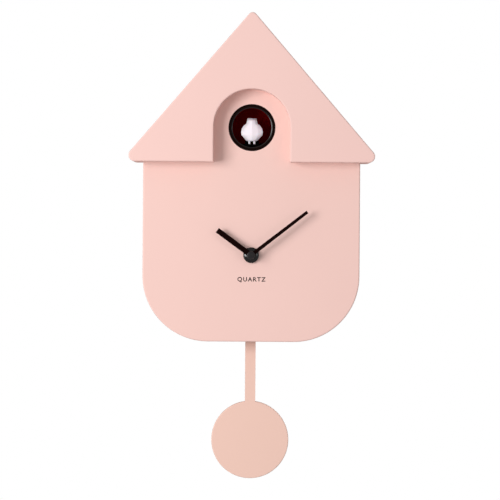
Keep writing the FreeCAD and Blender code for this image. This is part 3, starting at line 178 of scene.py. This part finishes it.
class Finish:
    """A material built from nodes round one Principled shader."""

    def __init__(self, name):
        self.material = bpy.data.materials.new(name)
        self.material.use_nodes = True
        self.tree = self.material.node_tree
        self.shader = self.tree.nodes["Principled BSDF"]

    def node(self, kind, settings=None, inputs=None, output=0):
        """Adds a node: its settings first (stops go to a ramp), then the values or links of its sockets."""
        node = self.tree.nodes.new(kind)
        for name, setting in (settings or {}).items():
            if name == "stops":
                ramp = node.color_ramp.elements
                while len(ramp) < len(setting):
                    ramp.new(0.5)
                for element, (position, colour) in zip(ramp, setting):
                    element.position = position
                    element.color = colour
            else:
                setattr(node, name, setting)
        for key, content in (inputs or {}).items():
            self.feed(node.inputs[key], content)
        return Field(self, node.outputs[output])

    def feed(self, socket, content):
        if isinstance(content, Field):
            self.tree.links.new(content.socket, socket)
        else:
            socket.default_value = content

    def set(self, **sockets):
        for name, content in sockets.items():
            self.feed(self.shader.inputs[name.replace("_", " ")], content)
        return self.material

    def position(self):
        return self.node("ShaderNodeTexCoord", output=3)

    def axis(self, letter):
        return self.node("ShaderNodeSeparateXYZ", inputs={0: self.position()}, output="XYZ".index(letter))

    def noise(self, size, detail=3.0, roughness=0.5, stretch=(1, 1, 1), distortion=0.0):
        """Noise from 0 to 1 whose lumps are about the given size in metres."""
        spot = self.node("ShaderNodeMapping", inputs={"Vector": self.position(), "Scale": stretch})
        return self.node("ShaderNodeTexNoise", inputs={
            "Vector": spot, "Scale": 1 / size, "Detail": detail, "Roughness": roughness,
            "Distortion": distortion})

    def band(self, field, low, high):
        """0 below one value of the field, 1 above the other, smooth between."""
        return self.node("ShaderNodeMapRange", {"interpolation_type": "SMOOTHSTEP", "clamp": True},
                         {"Value": field, "From Min": low, "From Max": high})

    def blend(self, factor, first, second):
        """The first colour turning into the second."""
        mix = self.node("ShaderNodeMix", {"data_type": "RGBA"}, {"Factor": factor}).socket.node
        self.feed(mix.inputs[6], first)
        self.feed(mix.inputs[7], second)
        return Field(self, mix.outputs[2])

    def bump(self, height, depth, strength=1.0, below=None):
        """A relief whose height field of 1 stands a number of metres proud."""
        inputs = {"Height": height, "Distance": depth, "Strength": strength}
        if below:
            inputs["Normal"] = below
        return self.node("ShaderNodeBump", inputs=inputs)


def linear(red, green, blue):
    """Screen colour, 0 to 255, as the linear colour that shaders use."""
    def channel(value):
        part = value / 255
        return part / 12.92 if part <= 0.04045 else ((part + 0.055) / 1.055) ** 2.4
    return (channel(red), channel(green), channel(blue), 1.0)


def shade(colour, factor):
    """A colour made darker or lighter by a factor."""
    return (*(channel * factor for channel in colour[:3]), 1.0)


def moulded(name, colour, roughness=0.5, grain=0.00035, relief=0.000012, drift=0.02, wax=0.0, sheen=0.35):
    """Moulded plastic: a spark-eroded grain, slow drift of the colour where the melt cooled, and
    faint flow marks that change the sheen."""
    finish = Finish(name)
    cloud = finish.noise(0.09, 2.0, 0.45)
    fleck = finish.noise(0.0012, 2.0, 0.6)
    flow = finish.noise(0.03, 3.0, 0.5, stretch=(1, 1, 0.35), distortion=0.6)
    tone = finish.blend(cloud, shade(colour, 1 - drift), shade(colour, 1 + drift))
    tone = finish.blend(fleck * 0.06, tone, shade(colour, 0.85))
    erosion = finish.noise(grain, 4.0, 0.65)
    swell = finish.noise(0.02, 1.0, 0.5)
    relief_field = finish.bump(erosion, relief, 1.0, below=finish.bump(swell, relief * 6, 0.35))
    return finish.set(Base_Color=tone, Roughness=roughness - 0.04 + flow * 0.08 + fleck * 0.03,
                      Normal=relief_field, Specular_IOR_Level=sheen, Subsurface_Weight=wax,
                      Subsurface_Radius=(0.0012, 0.0006, 0.0004), Subsurface_Scale=1.0)


def dress(material, *names):
    """Gives CAD nodes a material."""
    for name in names:
        mesh = nodes[name].data
        mesh.materials.clear()
        mesh.materials.append(material)


ROOF_PINK = linear(240, 201, 193)
HOUSE_PINK = linear(239, 200, 191)
dress(moulded("roof_pink", ROOF_PINK, 0.55), "roof_shell")
dress(moulded("house_pink", HOUSE_PINK, 0.55), "house_shell")


# ---------------------------------------------------------------- printed word under the hands
# A small word in black pad-printing ink: only the kind of movement, in letter-spaced capitals. It's a thin
# film printed on the dial under the hands.
PRINT_WIDTH, PRINT_DROP, PRINT_SHIFT, INK_THICK = 0.0247, 0.0215, 0.0005, 0.00004
hub_low, hub_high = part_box("hub_nut")
hub = (hub_low + hub_high) / 2
dial_front = hub_high.y

ink = Finish("printing_ink")
ink_wear = ink.noise(0.0006, 3.0, 0.6)
ink_finish = ink.set(Base_Color=ink.blend(ink_wear * 0.5, linear(34, 16, 14), linear(60, 38, 34)),
                    Roughness=0.5 + ink_wear * 0.15)
font = bpy.data.curves.new("dial_word", "FONT")
font.body = "QUARTZ"
font.align_x, font.align_y = "CENTER", "CENTER"
font.space_character = 1.25
font.offset = 0.022
font.resolution_u = 6
text_object = bpy.data.objects.new("dial_word_curve", font)
bpy.context.scene.collection.objects.link(text_object)
bpy.context.view_layer.update()
outlined = text_object.evaluated_get(bpy.context.evaluated_depsgraph_get())
word = bpy.data.meshes.new_from_object(outlined)
bpy.data.objects.remove(text_object)
flat = np.empty(len(word.vertices) * 3)
word.vertices.foreach_get("co", flat)
flat = flat.reshape(-1, 3)
letter_scale = PRINT_WIDTH / np.ptp(flat[:, 0])
middle = (flat.max(0) + flat.min(0)) / 2
standing = np.stack([hub.x + PRINT_SHIFT + (flat[:, 0] - middle[0]) * letter_scale,
                     np.full(len(flat), dial_front - INK_THICK),
                     hub.z - PRINT_DROP + (flat[:, 1] - middle[1]) * letter_scale], -1)
word.vertices.foreach_set("co", standing.ravel())
word.materials.clear()
word.update()
printed = place("dial_word", word, ink_finish)
skin = printed.modifiers.new("ink", "SOLIDIFY")
skin.thickness = INK_THICK * 0.8
skin.offset = -1
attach(printed, "case")


# ---------------------------------------------------------------- hands
# Hour and minute hands punched from thin sheet steel and stoved in matt black enamel, warm in the light.
# Each is pressed on its own tube or arbor of the movement.
def enamel(name, colour, roughness, sheen=0.4):
    """Stoved enamel on metal: a light orange-peel relief and a slightly uneven sheen."""
    finish = Finish(name)
    peel = finish.noise(0.0011, 2.0, 0.5)
    dust = finish.noise(0.004, 4.0, 0.65)
    tone = finish.blend(dust * 0.35, colour, shade(colour, 1.9))
    return finish.set(Base_Color=tone, Roughness=roughness + dust * 0.10 - 0.05,
                      Normal=finish.bump(peel, 0.00001, 0.8), Specular_IOR_Level=sheen)


dress(enamel("hand_enamel", linear(16, 2, 1), 0.5, sheen=0.03), "hour_hand", "minute_hand")


# ---------------------------------------------------------------- fixing nut and cap on the hub
# Turned pieces in glossy black enamel. The domed nut is screwed on the movement's bush and clamps it to the
# dial; the small cap covers the end of the arbor and turns with the minute hand.
WELD, CREASE = 1e-6, math.radians(28)


def close_skin(mesh):
    """Welds the seams and poles of a closed shell, turns its faces outwards and keeps its corners crisp."""
    skin = bmesh.new()
    skin.from_mesh(mesh)
    bmesh.ops.remove_doubles(skin, verts=skin.verts, dist=WELD)
    bmesh.ops.recalc_face_normals(skin, faces=skin.faces)
    skin.to_mesh(mesh)
    skin.free()
    mesh.set_sharp_from_angle(angle=CREASE)
    return mesh


def lathe(name, centre, radius, depth, material, segments=96):
    """A profile carried round the depth axis: a point at (r, d) goes to
    (x + r cos a, y - d, z + r sin a) for every angle a."""
    angle = np.linspace(0, 2 * math.pi, segments, endpoint=False)
    radius, depth = np.asarray(radius, float), np.asarray(depth, float)
    points = np.stack([centre[0] + radius[:, None] * np.cos(angle)[None, :],
                       centre[1] - np.broadcast_to(depth[:, None], (len(depth), segments)),
                       centre[2] + radius[:, None] * np.sin(angle)[None, :]], -1)
    mesh = close_skin(grid_mesh(name, points, closed_v=True))
    mesh.materials.append(material)
    return mesh


def rounded(start, end, steps=14):
    """Quarter ellipse between two (radius, depth) points, upright at the first and flat at the second:
    (r1 + (r0 - r1) cos a, d0 + (d1 - d0) sin a) for a from 0 to a right angle."""
    a = np.linspace(0, math.pi / 2, steps)
    return end[0] + (start[0] - end[0]) * np.cos(a), start[1] + (end[1] - start[1]) * np.sin(a)


def joined(*stretches):
    """Radii and depths of several stretches put end to end."""
    radii = np.concatenate([np.atleast_1d(np.asarray(r, float)) for r, _ in stretches])
    depths = np.concatenate([np.atleast_1d(np.asarray(d, float)) for _, d in stretches])
    return radii, depths


def crown(start, end, start_slope, steps=24):
    """Arc of a circle between two (radius, depth) points that begins with a slope, in degrees, off the flat:
    it turns evenly, by twice the angle between that slope and the chord."""
    inward, rise = start[0] - end[0], end[1] - start[1]
    chord = math.atan2(rise, inward)
    first = math.radians(start_slope)
    slope = first + (chord - first) * 2 * np.linspace(0, 1, steps)
    heading = np.stack([np.cos(slope), np.sin(slope)])
    strides = (heading[:, 1:] + heading[:, :-1]) / 2
    path = np.concatenate([[[0], [0]], strides], 1).cumsum(1)
    size = math.hypot(inward, rise) / math.hypot(*path[:, -1])
    return start[0] - path[0] * size, start[1] + path[1] * size


NUT_BORE, NUT_RADIUS, NUT_TOP, EDGE = 0.0030, 0.00685, 0.0036, 0.0003
NUT_CROWN, NUT_SLOPE = 0.00095, 31
nut_thick = hub_high.y - hub_low.y
nut_wall = nut_thick - NUT_CROWN
gloss = enamel("black_gloss", linear(9, 5, 3), 0.12, sheen=0.5)
nut_profile = joined(([NUT_BORE, NUT_RADIUS - EDGE], [0, 0]),
                     ([NUT_RADIUS, NUT_RADIUS], [EDGE, nut_wall - EDGE]),
                     ([NUT_RADIUS - EDGE], [nut_wall]),
                     crown((NUT_RADIUS - EDGE * 2, nut_wall), (NUT_TOP, nut_thick), NUT_SLOPE),
                     ([NUT_BORE, NUT_BORE], [nut_thick, 0]))
nut = place("fixing_nut", lathe("fixing_nut", (hub.x, dial_front, hub.z), *nut_profile, gloss))
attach(nut, "case")
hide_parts("hub_nut")

cap_low, cap_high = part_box("hub_cap")
cap_radius, cap_height = (cap_high.x - cap_low.x) / 2, cap_high.y - cap_low.y
cap_finish = enamel("cap_gloss", linear(20, 15, 16), 0.3, sheen=0.4)
cap_profile = joined(([0, cap_radius - EDGE], [0, 0]), ([cap_radius], [EDGE]),
                     rounded((cap_radius, cap_height - EDGE * 2), (cap_radius - EDGE * 2, cap_height)),
                     ([0], [cap_height]))
cap = place("arbor_cap", lathe("arbor_cap", (hub.x, cap_high.y, hub.z), *cap_profile, cap_finish))
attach(cap, "minute")
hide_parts("hub_cap")


# ---------------------------------------------------------------- doorway, tube and stage
# A black funnel moulding with a glossy bead lines the doorway. Behind it a maroon tube, dark along its
# floor, holds the bird on a black stage that slides out on a rack.
ring_low, ring_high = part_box("doorway_ring")
ring_middle = (ring_low + ring_high) / 2
RING_FLANGE, RING_OUTSIDE, RING_BACK, RING_BORE = 0.0230, 0.0205, 0.0189, 0.0171
FLANGE_REAR, FLANGE_FRONT, RING_LIP = 0.0570, 0.0595, 0.0004
BEAD_WIDTH, BEAD_SLOPES = 0.0008, (13, 27)
ring_rear, ring_front = -ring_high.y, -ring_low.y
bead_steps = 10
bead_in = BEAD_WIDTH * np.arange(bead_steps + 1) / bead_steps
bead_slope = np.tan(np.radians(np.linspace(*BEAD_SLOPES, bead_steps)))
bead_fall = np.concatenate([[0], np.cumsum(bead_slope) * BEAD_WIDTH / bead_steps])
bead = RING_BORE + BEAD_WIDTH - bead_in, ring_front - bead_fall
ring_profile = joined(
    ([RING_BORE, RING_BACK, RING_BACK, RING_FLANGE, RING_FLANGE, RING_OUTSIDE],
     [ring_rear, ring_rear, FLANGE_REAR, FLANGE_REAR, FLANGE_FRONT, FLANGE_FRONT]),
    rounded((RING_OUTSIDE, ring_front - RING_LIP), (RING_OUTSIDE - RING_LIP, ring_front), 8),
    bead, ([RING_BORE], [ring_rear]))
funnel_black = enamel("funnel_black", linear(15, 4, 2), 0.4, sheen=0.04)
ring = place("doorway_lining", lathe("doorway_lining", (ring_middle.x, 0, ring_middle.z), *ring_profile,
                                     funnel_black, segments=160))
ring.data.materials.append(enamel("bead_gloss", linear(16, 3, 2), 0.25, sheen=0.34))
faces = np.empty(len(ring.data.polygons) * 3)
ring.data.polygons.foreach_get("center", faces)
faces = faces.reshape(-1, 3)
from_axis = np.hypot(faces[:, 0] - ring_middle.x, faces[:, 2] - ring_middle.z)
on_bead = (from_axis < RING_BORE + BEAD_WIDTH) & (-faces[:, 1] > ring_front - bead_fall[-1])
ring.data.polygons.foreach_set("material_index", on_bead.astype(np.int32))
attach(ring, "case")
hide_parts("doorway_ring")

TUBE_FLOOR, TUBE_FADE = 0.0012, 0.0016
stand_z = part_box("bird")[0].z
maroon = Finish("maroon_tube")
melt = maroon.noise(0.02, 2.0, 0.45)
above = maroon.band(maroon.axis("Z"), stand_z + TUBE_FLOOR, stand_z + TUBE_FLOOR + TUBE_FADE)
tube_red = maroon.blend(melt, linear(140, 4, 9), linear(172, 6, 14))
dress(maroon.set(Base_Color=maroon.blend(above, linear(5, 2, 3), tube_red), Roughness=0.55 + melt * 0.08,
                 Normal=maroon.bump(maroon.noise(0.0004, 4.0, 0.65), 0.000012), Specular_IOR_Level=0.02),
      "bird_tube")
dress(moulded("stage_black", linear(5, 2, 3), 0.6, drift=0.05, sheen=0.02), "bird_carriage")


# ---------------------------------------------------------------- bird
# One white moulding with flat facets like folded paper: a breast crease, two cheeks, two wings and a tail,
# with its edges just broken, on two round legs that are pegged into the stage.
bird_low, bird_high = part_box("bird")
bird_middle, bird_tall = (bird_low.x + bird_high.x) / 2, bird_high.z - bird_low.z
WING_PART = 0.95
bird_half = (bird_high.x - bird_low.x) / 2 * WING_PART
# From the crown down: height above the stage and half width as parts of the whole, then how far in metres
# the crease lies behind the breast.
BIRD_LEVELS = np.array([
    (1.000, 0.44, 0.0052), (0.915, 0.45, 0.0016), (0.795, 0.52, 0.0010), (0.735, 0.74, 0.0008),
    (0.620, 0.94, 0.0005), (0.485, 1.00, 0.0002), (0.380, 0.98, 0.0000), (0.320, 0.85, 0.0002),
    (0.195, 0.58, 0.0010), (0.148, 0.46, 0.0018)])
CHEEK_OUT, CHEEK_BACK, WING_BACK, TAIL_OUT = 0.55, 0.0008, 0.0024, 0.45
# The back is drawn in by these lengths above the neck and below the belly.
NECK_PART, NECK_IN, BELLY_PART, BELLY_IN = 0.9, 0.002, 0.2, 0.004


def faceted(levels):
    """Rings of seven corners, one ring to a level: crease, cheek, wing and tail, then the same mirrored.
    The first and last rings close to a point in their middle."""
    height, width, crease = levels.T
    half = width * bird_half
    rear = bird_high.y - bird_low.y - NECK_IN * (height > NECK_PART) - BELLY_IN * (height < BELLY_PART)
    corner_x = np.stack([half * 0, CHEEK_OUT * half, half, TAIL_OUT * half], 1)
    corner_y = np.stack([crease, crease + CHEEK_BACK, crease + WING_BACK, rear], 1)
    ring_x = np.concatenate([corner_x, -corner_x[:, :0:-1]], 1)
    ring_y = np.concatenate([corner_y, corner_y[:, :0:-1]], 1)
    ring_z = np.broadcast_to(height[:, None], ring_x.shape) * bird_tall
    rings = np.stack([ring_x, ring_y, ring_z], -1)
    ends = [np.broadcast_to(ring.mean(0), ring.shape)[None] for ring in (rings[0], rings[-1])]
    return np.concatenate([ends[0], rings, ends[1]]) + np.array([bird_middle, bird_low.y, bird_low.z])


bird_white = moulded("bird_white", linear(246, 238, 246), 0.38, drift=0.01, relief=0.000006, wax=0.1)
bird_mesh = grid_mesh("folded_bird", faceted(BIRD_LEVELS), closed_v=True, smooth=False)
bird = place("folded_bird", close_skin(bird_mesh), bird_white)
EDGE_BREAK, FOLD_LEAST = 0.0002, math.radians(8)
broken = bird.modifiers.new("broken_edges", "BEVEL")
broken.width = EDGE_BREAK
broken.segments = 2
broken.limit_method = "ANGLE"
broken.angle_limit = FOLD_LEAST
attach(bird, "bird_on_stage")
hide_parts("bird")

LEG_OUT, LEG_RADIUS, LEG_BACK, LEG_PART = 0.0022, 0.00095, 0.0042, 0.2
turn = np.linspace(0, 2 * math.pi, 32, endpoint=False)
leg_radius = np.array([0, LEG_RADIUS, LEG_RADIUS, 0])
leg_top = bird_low.z + bird_tall * LEG_PART
leg_z = np.array([bird_low.z, bird_low.z, leg_top, leg_top])
for side, out in (("left", -LEG_OUT), ("right", LEG_OUT)):
    post = np.stack([bird_middle + out + leg_radius[:, None] * np.cos(turn),
                     bird_low.y + LEG_BACK + leg_radius[:, None] * np.sin(turn),
                     np.broadcast_to(leg_z[:, None], (4, len(turn)))], -1)
    leg_mesh = close_skin(grid_mesh(f"bird_leg_{side}", post, closed_v=True))
    leg = place(f"bird_leg_{side}", leg_mesh, bird_white)
    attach(leg, "bird_on_stage")


# ---------------------------------------------------------------- pendulum and rear covers
# The pendulum's strip and bob are one matt pink moulding. The bob's cover, the case's back cover and the
# battery door are moulded in a duller pink with a coarser grain.
# The pendulum's pink is a little darker than the house's: painted shade for the weaker light low on the
# clock.
dress(moulded("pendulum_pink_painted_shade", linear(236, 197, 182), 0.55), "pendulum_blade")
dress(moulded("rear_pink", linear(226, 186, 176), 0.62, grain=0.0008, relief=0.00004),
      "back_cover", "battery_door", "bob_cover")


# ---------------------------------------------------------------- fasteners and metal pieces
# Screws, pin and bob weight in zinc-plated steel, battery contacts in nickel-plated strip, the motor's
# drawn can, its brass pinion, and two sintered magnets.
def plated(name, colour, roughness, stretch=(1, 1, 1)):
    """Plated metal: fine scratches along one direction and a cloudy passivation layer."""
    finish = Finish(name)
    scratch = finish.noise(0.0009, 5.0, 0.7, stretch=stretch)
    cloud = finish.noise(0.003, 3.0, 0.55)
    tone = finish.blend(cloud, shade(colour, 0.85), shade(colour, 1.1))
    return finish.set(Base_Color=tone, Metallic=1.0, Roughness=roughness + scratch * 0.18,
                      Normal=finish.bump(scratch, 0.00001, 0.7))


dress(plated("zinc", linear(190, 190, 196), 0.28), "roof_screws", "cover_screws", "speaker_screws",
      "board_screws", "frame_screws", "drive_screws", "bob_screws", "pivot_pin", "bob_weight")
dress(plated("motor_can", linear(175, 176, 180), 0.35, stretch=(0.1, 1, 1)), "bird_motor")
dress(plated("nickel", linear(200, 196, 184), 0.22, stretch=(1, 1, 0.15)), "contact_plates", "contact_leaves")
dress(plated("pinion_brass", linear(196, 160, 92), 0.28), "motor_pinion")
dress(plated("ferrite", linear(74, 74, 78), 0.55), "speaker_magnet", "arm_magnet")


# ---------------------------------------------------------------- inner mouldings
# Black mouldings of the movement, the bird's drive, the pendulum's drive and the board, and gears, sliders
# and button in natural acetal. A rubber washer sits between the movement and the back of the dial.
inner_black = moulded("inner_black", linear(28, 27, 29), 0.5, grain=0.0006, relief=0.00003, drift=0.06)
dress(inner_black, "bird_frame", "movement_case", "movement_cover", "set_knob", "drive_case", "drive_cover",
      "pendulum_arm", "speaker_frame", "mode_switch", "volume_switch", "button_switch", "board_parts")
natural = moulded("natural_acetal", linear(226, 222, 208), 0.4, drift=0.02, wax=0.15)
dress(natural, "motion_wheel", "reduction_gear", "mode_slider", "volume_slider", "test_button")
washer = Finish("washer_rubber")
washer_dust = washer.noise(0.0008, 4.0, 0.7)
dress(washer.set(Base_Color=washer.blend(washer_dust * 0.4, linear(24, 24, 25), linear(62, 60, 58)),
                 Roughness=0.75 + washer_dust * 0.15, Normal=washer.bump(washer_dust, 0.00003)),
      "rubber_washer")


# ---------------------------------------------------------------- coils
# The movement's and the pendulum drive's coils: enamelled copper wound on a bobbin, in fine rounded turns
# that follow the bobbin's axis.
def winding(name, colour, pitch):
    """Wound wire: the turns are a sine along depth in the relief and in the colour, whose dark half is
    painted shade in the grooves between turns; shiny lacquer over copper.
    """
    finish = Finish(name)
    turns = (finish.axis("Y") * (2 * math.pi / pitch)).math("SINE")
    wander = finish.noise(0.002, 2.0)
    # Painted shade: the copper colour falls to under half between the turns, where the grooves lie.
    tone = finish.blend(turns * 0.5 + 0.5, shade(colour, 0.45), colour)
    return finish.set(Base_Color=finish.blend(wander * 0.3, tone, shade(colour, 1.3)), Metallic=0.6,
                      Roughness=0.3 + wander * 0.1, Normal=finish.bump(turns, 0.00004))


dress(winding("copper", linear(180, 92, 48), 0.0003), "movement_coil", "drive_coil")


# ---------------------------------------------------------------- circuit board
# Green solder mask over etched tracks on a fine woven glass core. It's screwed to four posts of the back
# cover and carries the loudspeaker's, the motor's and the pendulum drive's electronics.
board = Finish("solder_mask")
track_x = (board.axis("X") * (2 * math.pi / 0.0026)).math("SINE")
track_z = (board.axis("Z") * (2 * math.pi / 0.0032)).math("SINE")
patches = board.noise(0.011, 1.0, 0.3)
choose = board.band(patches, 0.47, 0.50)
tracks = board.band(choose * track_x + (1 - choose) * track_z, 0.35, 0.55)
weave = board.noise(0.0005, 2.0)
mask_green = board.blend(tracks, linear(12, 74, 40), linear(26, 112, 62))
dress(board.set(Base_Color=board.blend(weave * 0.2, mask_green, linear(8, 48, 28)),
                Roughness=0.28 + weave * 0.1, Normal=board.bump(tracks, 0.00003), Coat_Weight=0.3,
                Coat_Roughness=0.2), "circuit_board")


# ---------------------------------------------------------------- loudspeaker cone
# Pressed black paper with ring corrugations and a domed dust cap, glued in the loudspeaker's frame behind
# the slots of the back cover.
cone_low, cone_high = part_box("speaker_cone")
cone_centre = (cone_low + cone_high) / 2
cone_radius = (cone_high.x - cone_low.x) / 2
cone_depth = cone_high.y - cone_low.y
felt = Finish("cone_paper")
fibre = felt.noise(0.0007, 6.0, 0.75)
paper_black = felt.set(Base_Color=felt.blend(fibre, linear(20, 20, 21), linear(52, 50, 49)), Roughness=0.85,
                       Normal=felt.bump(fibre, 0.00006))
CONE_PAPER, CONE_RIM, CONE_REACH, CONE_FALL, DOME_RISE = 0.0003, 0.0004, 0.72, 0.66, 0.0016
RIBS, RIB_HEIGHT, RIBBED_PART = 7, 0.00018, 0.8
run = np.linspace(0, 1, 90)
ribs = RIB_HEIGHT * np.sin(run * 2 * RIBS * math.pi) * (run < RIBBED_PART)
slope_radius = cone_radius * (1 - CONE_REACH * run)
slope_depth = CONE_RIM + cone_depth * CONE_FALL * run + ribs
dome_turn = np.linspace(0, math.pi / 2, 16)
dome_radius = slope_radius[-1] * np.cos(dome_turn) * (dome_turn < math.pi / 2)
dome_depth = slope_depth[-1] - DOME_RISE * np.sin(dome_turn)
cone_profile = joined((slope_radius, slope_depth), (dome_radius, dome_depth),
                      (dome_radius[::-1], dome_depth[::-1] + CONE_PAPER),
                      (slope_radius[::-1], slope_depth[::-1] + CONE_PAPER), (slope_radius[0], slope_depth[0]))
cone = place("paper_cone", lathe("paper_cone", (cone_centre.x, cone_high.y, cone_centre.z), *cone_profile,
                                 paper_black))
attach(cone, "case")
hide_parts("speaker_cone")


# ---------------------------------------------------------------- cells
# Three LR6 cells in the tray: a steel can with rolled ends and a plus button, in a shrunk film with a dark
# body and a copper-coloured band at the plus end.
def cell_skin(name, plus_right, middle_x, half_length):
    """Printed film by distance along the cell: dark, then a copper band, then bare steel at the ends."""
    finish = Finish(name)
    along = (finish.axis("X") - middle_x) * ((1 if plus_right else -1) / half_length)
    copper = finish.band(along, 0.40, 0.41)
    steel = (along > 0.955) + (along < -0.985)
    scuff = finish.noise(0.002, 5.0, 0.7)
    film = finish.blend(copper, linear(24, 26, 30), linear(184, 112, 58))
    tone = finish.blend(steel, finish.blend(scuff * 0.25, film, linear(90, 88, 86)), linear(205, 205, 208))
    return finish.set(Base_Color=tone, Metallic=0.35 + steel * 0.6, Roughness=0.26 + scuff * 0.12)


def cell_mesh(name, low, high, plus_right, material, segments=64):
    """A can with rolled ends and a plus button, carried round the X axis: a point at (r, t) goes to
    (t, y + r cos a, z + r sin a)."""
    radius, length = (high.z - low.z) / 2, high.x - low.x
    centre_y, centre_z = (low.y + high.y) / 2, (low.z + high.z) / 2
    roll, step, button_radius, button_length, button_foot = 0.0006, 0.0003, 0.0027, 0.0014, 0.0008
    base_part, base_edge_part, shoulder_part = 0.62, 0.66, 0.75
    can = length - button_length
    radii, travel = joined(
        ([0, radius * base_part, radius * base_edge_part, radius - roll], [0, 0, step, step]),
        ([radius - roll * 0.3, radius], [roll * 2 / 3, roll]),
        ([radius, radius], [roll * 1.2, can - roll]),
        ([radius - roll * 0.3, radius - roll, radius * shoulder_part, button_radius + button_foot],
         [can - roll * 0.3, can, can - step, can - step]),
        ([button_radius, button_radius, button_radius - step, 0], [can, length - step, length, length]))
    along = low.x + travel if plus_right else high.x - travel
    angle = np.linspace(0, 2 * math.pi, segments, endpoint=False)
    points = np.stack([np.broadcast_to(along[:, None], (len(along), segments)),
                       centre_y + radii[:, None] * np.cos(angle)[None, :],
                       centre_z + radii[:, None] * np.sin(angle)[None, :]], -1)
    mesh = close_skin(grid_mesh(name, points, closed_v=True))
    mesh.materials.append(material)
    return mesh


for row in ("low", "middle", "top"):
    low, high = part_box(f"battery_{row}")
    plus_right = low.x + high.x > 0
    film = cell_skin(f"cell_film_{row}", plus_right, (low.x + high.x) / 2, (high.x - low.x) / 2)
    cell = place(f"cell_{row}", cell_mesh(f"cell_{row}", low, high, plus_right, film))
    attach(cell, "case")
    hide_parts(f"battery_{row}")


# ---------------------------------------------------------------- wires
# Short leads inside the case in soft PVC: red to the pendulum drive and the batteries, black to the
# loudspeaker and the motor.
def insulation(name, colour):
    """Soft PVC: a satin skin with fine extrusion marks."""
    finish = Finish(name)
    mark = finish.noise(0.0009, 3.0, 0.6)
    return finish.set(Base_Color=finish.blend(mark * 0.3, colour, shade(colour, 1.5)),
                      Roughness=0.4 + mark * 0.15, Normal=finish.bump(mark, 0.00001))


dress(insulation("red_pvc", linear(170, 28, 26)), "drive_wire", "battery_wire")
dress(insulation("black_pvc", linear(26, 26, 28)), "speaker_wire", "motor_wire")
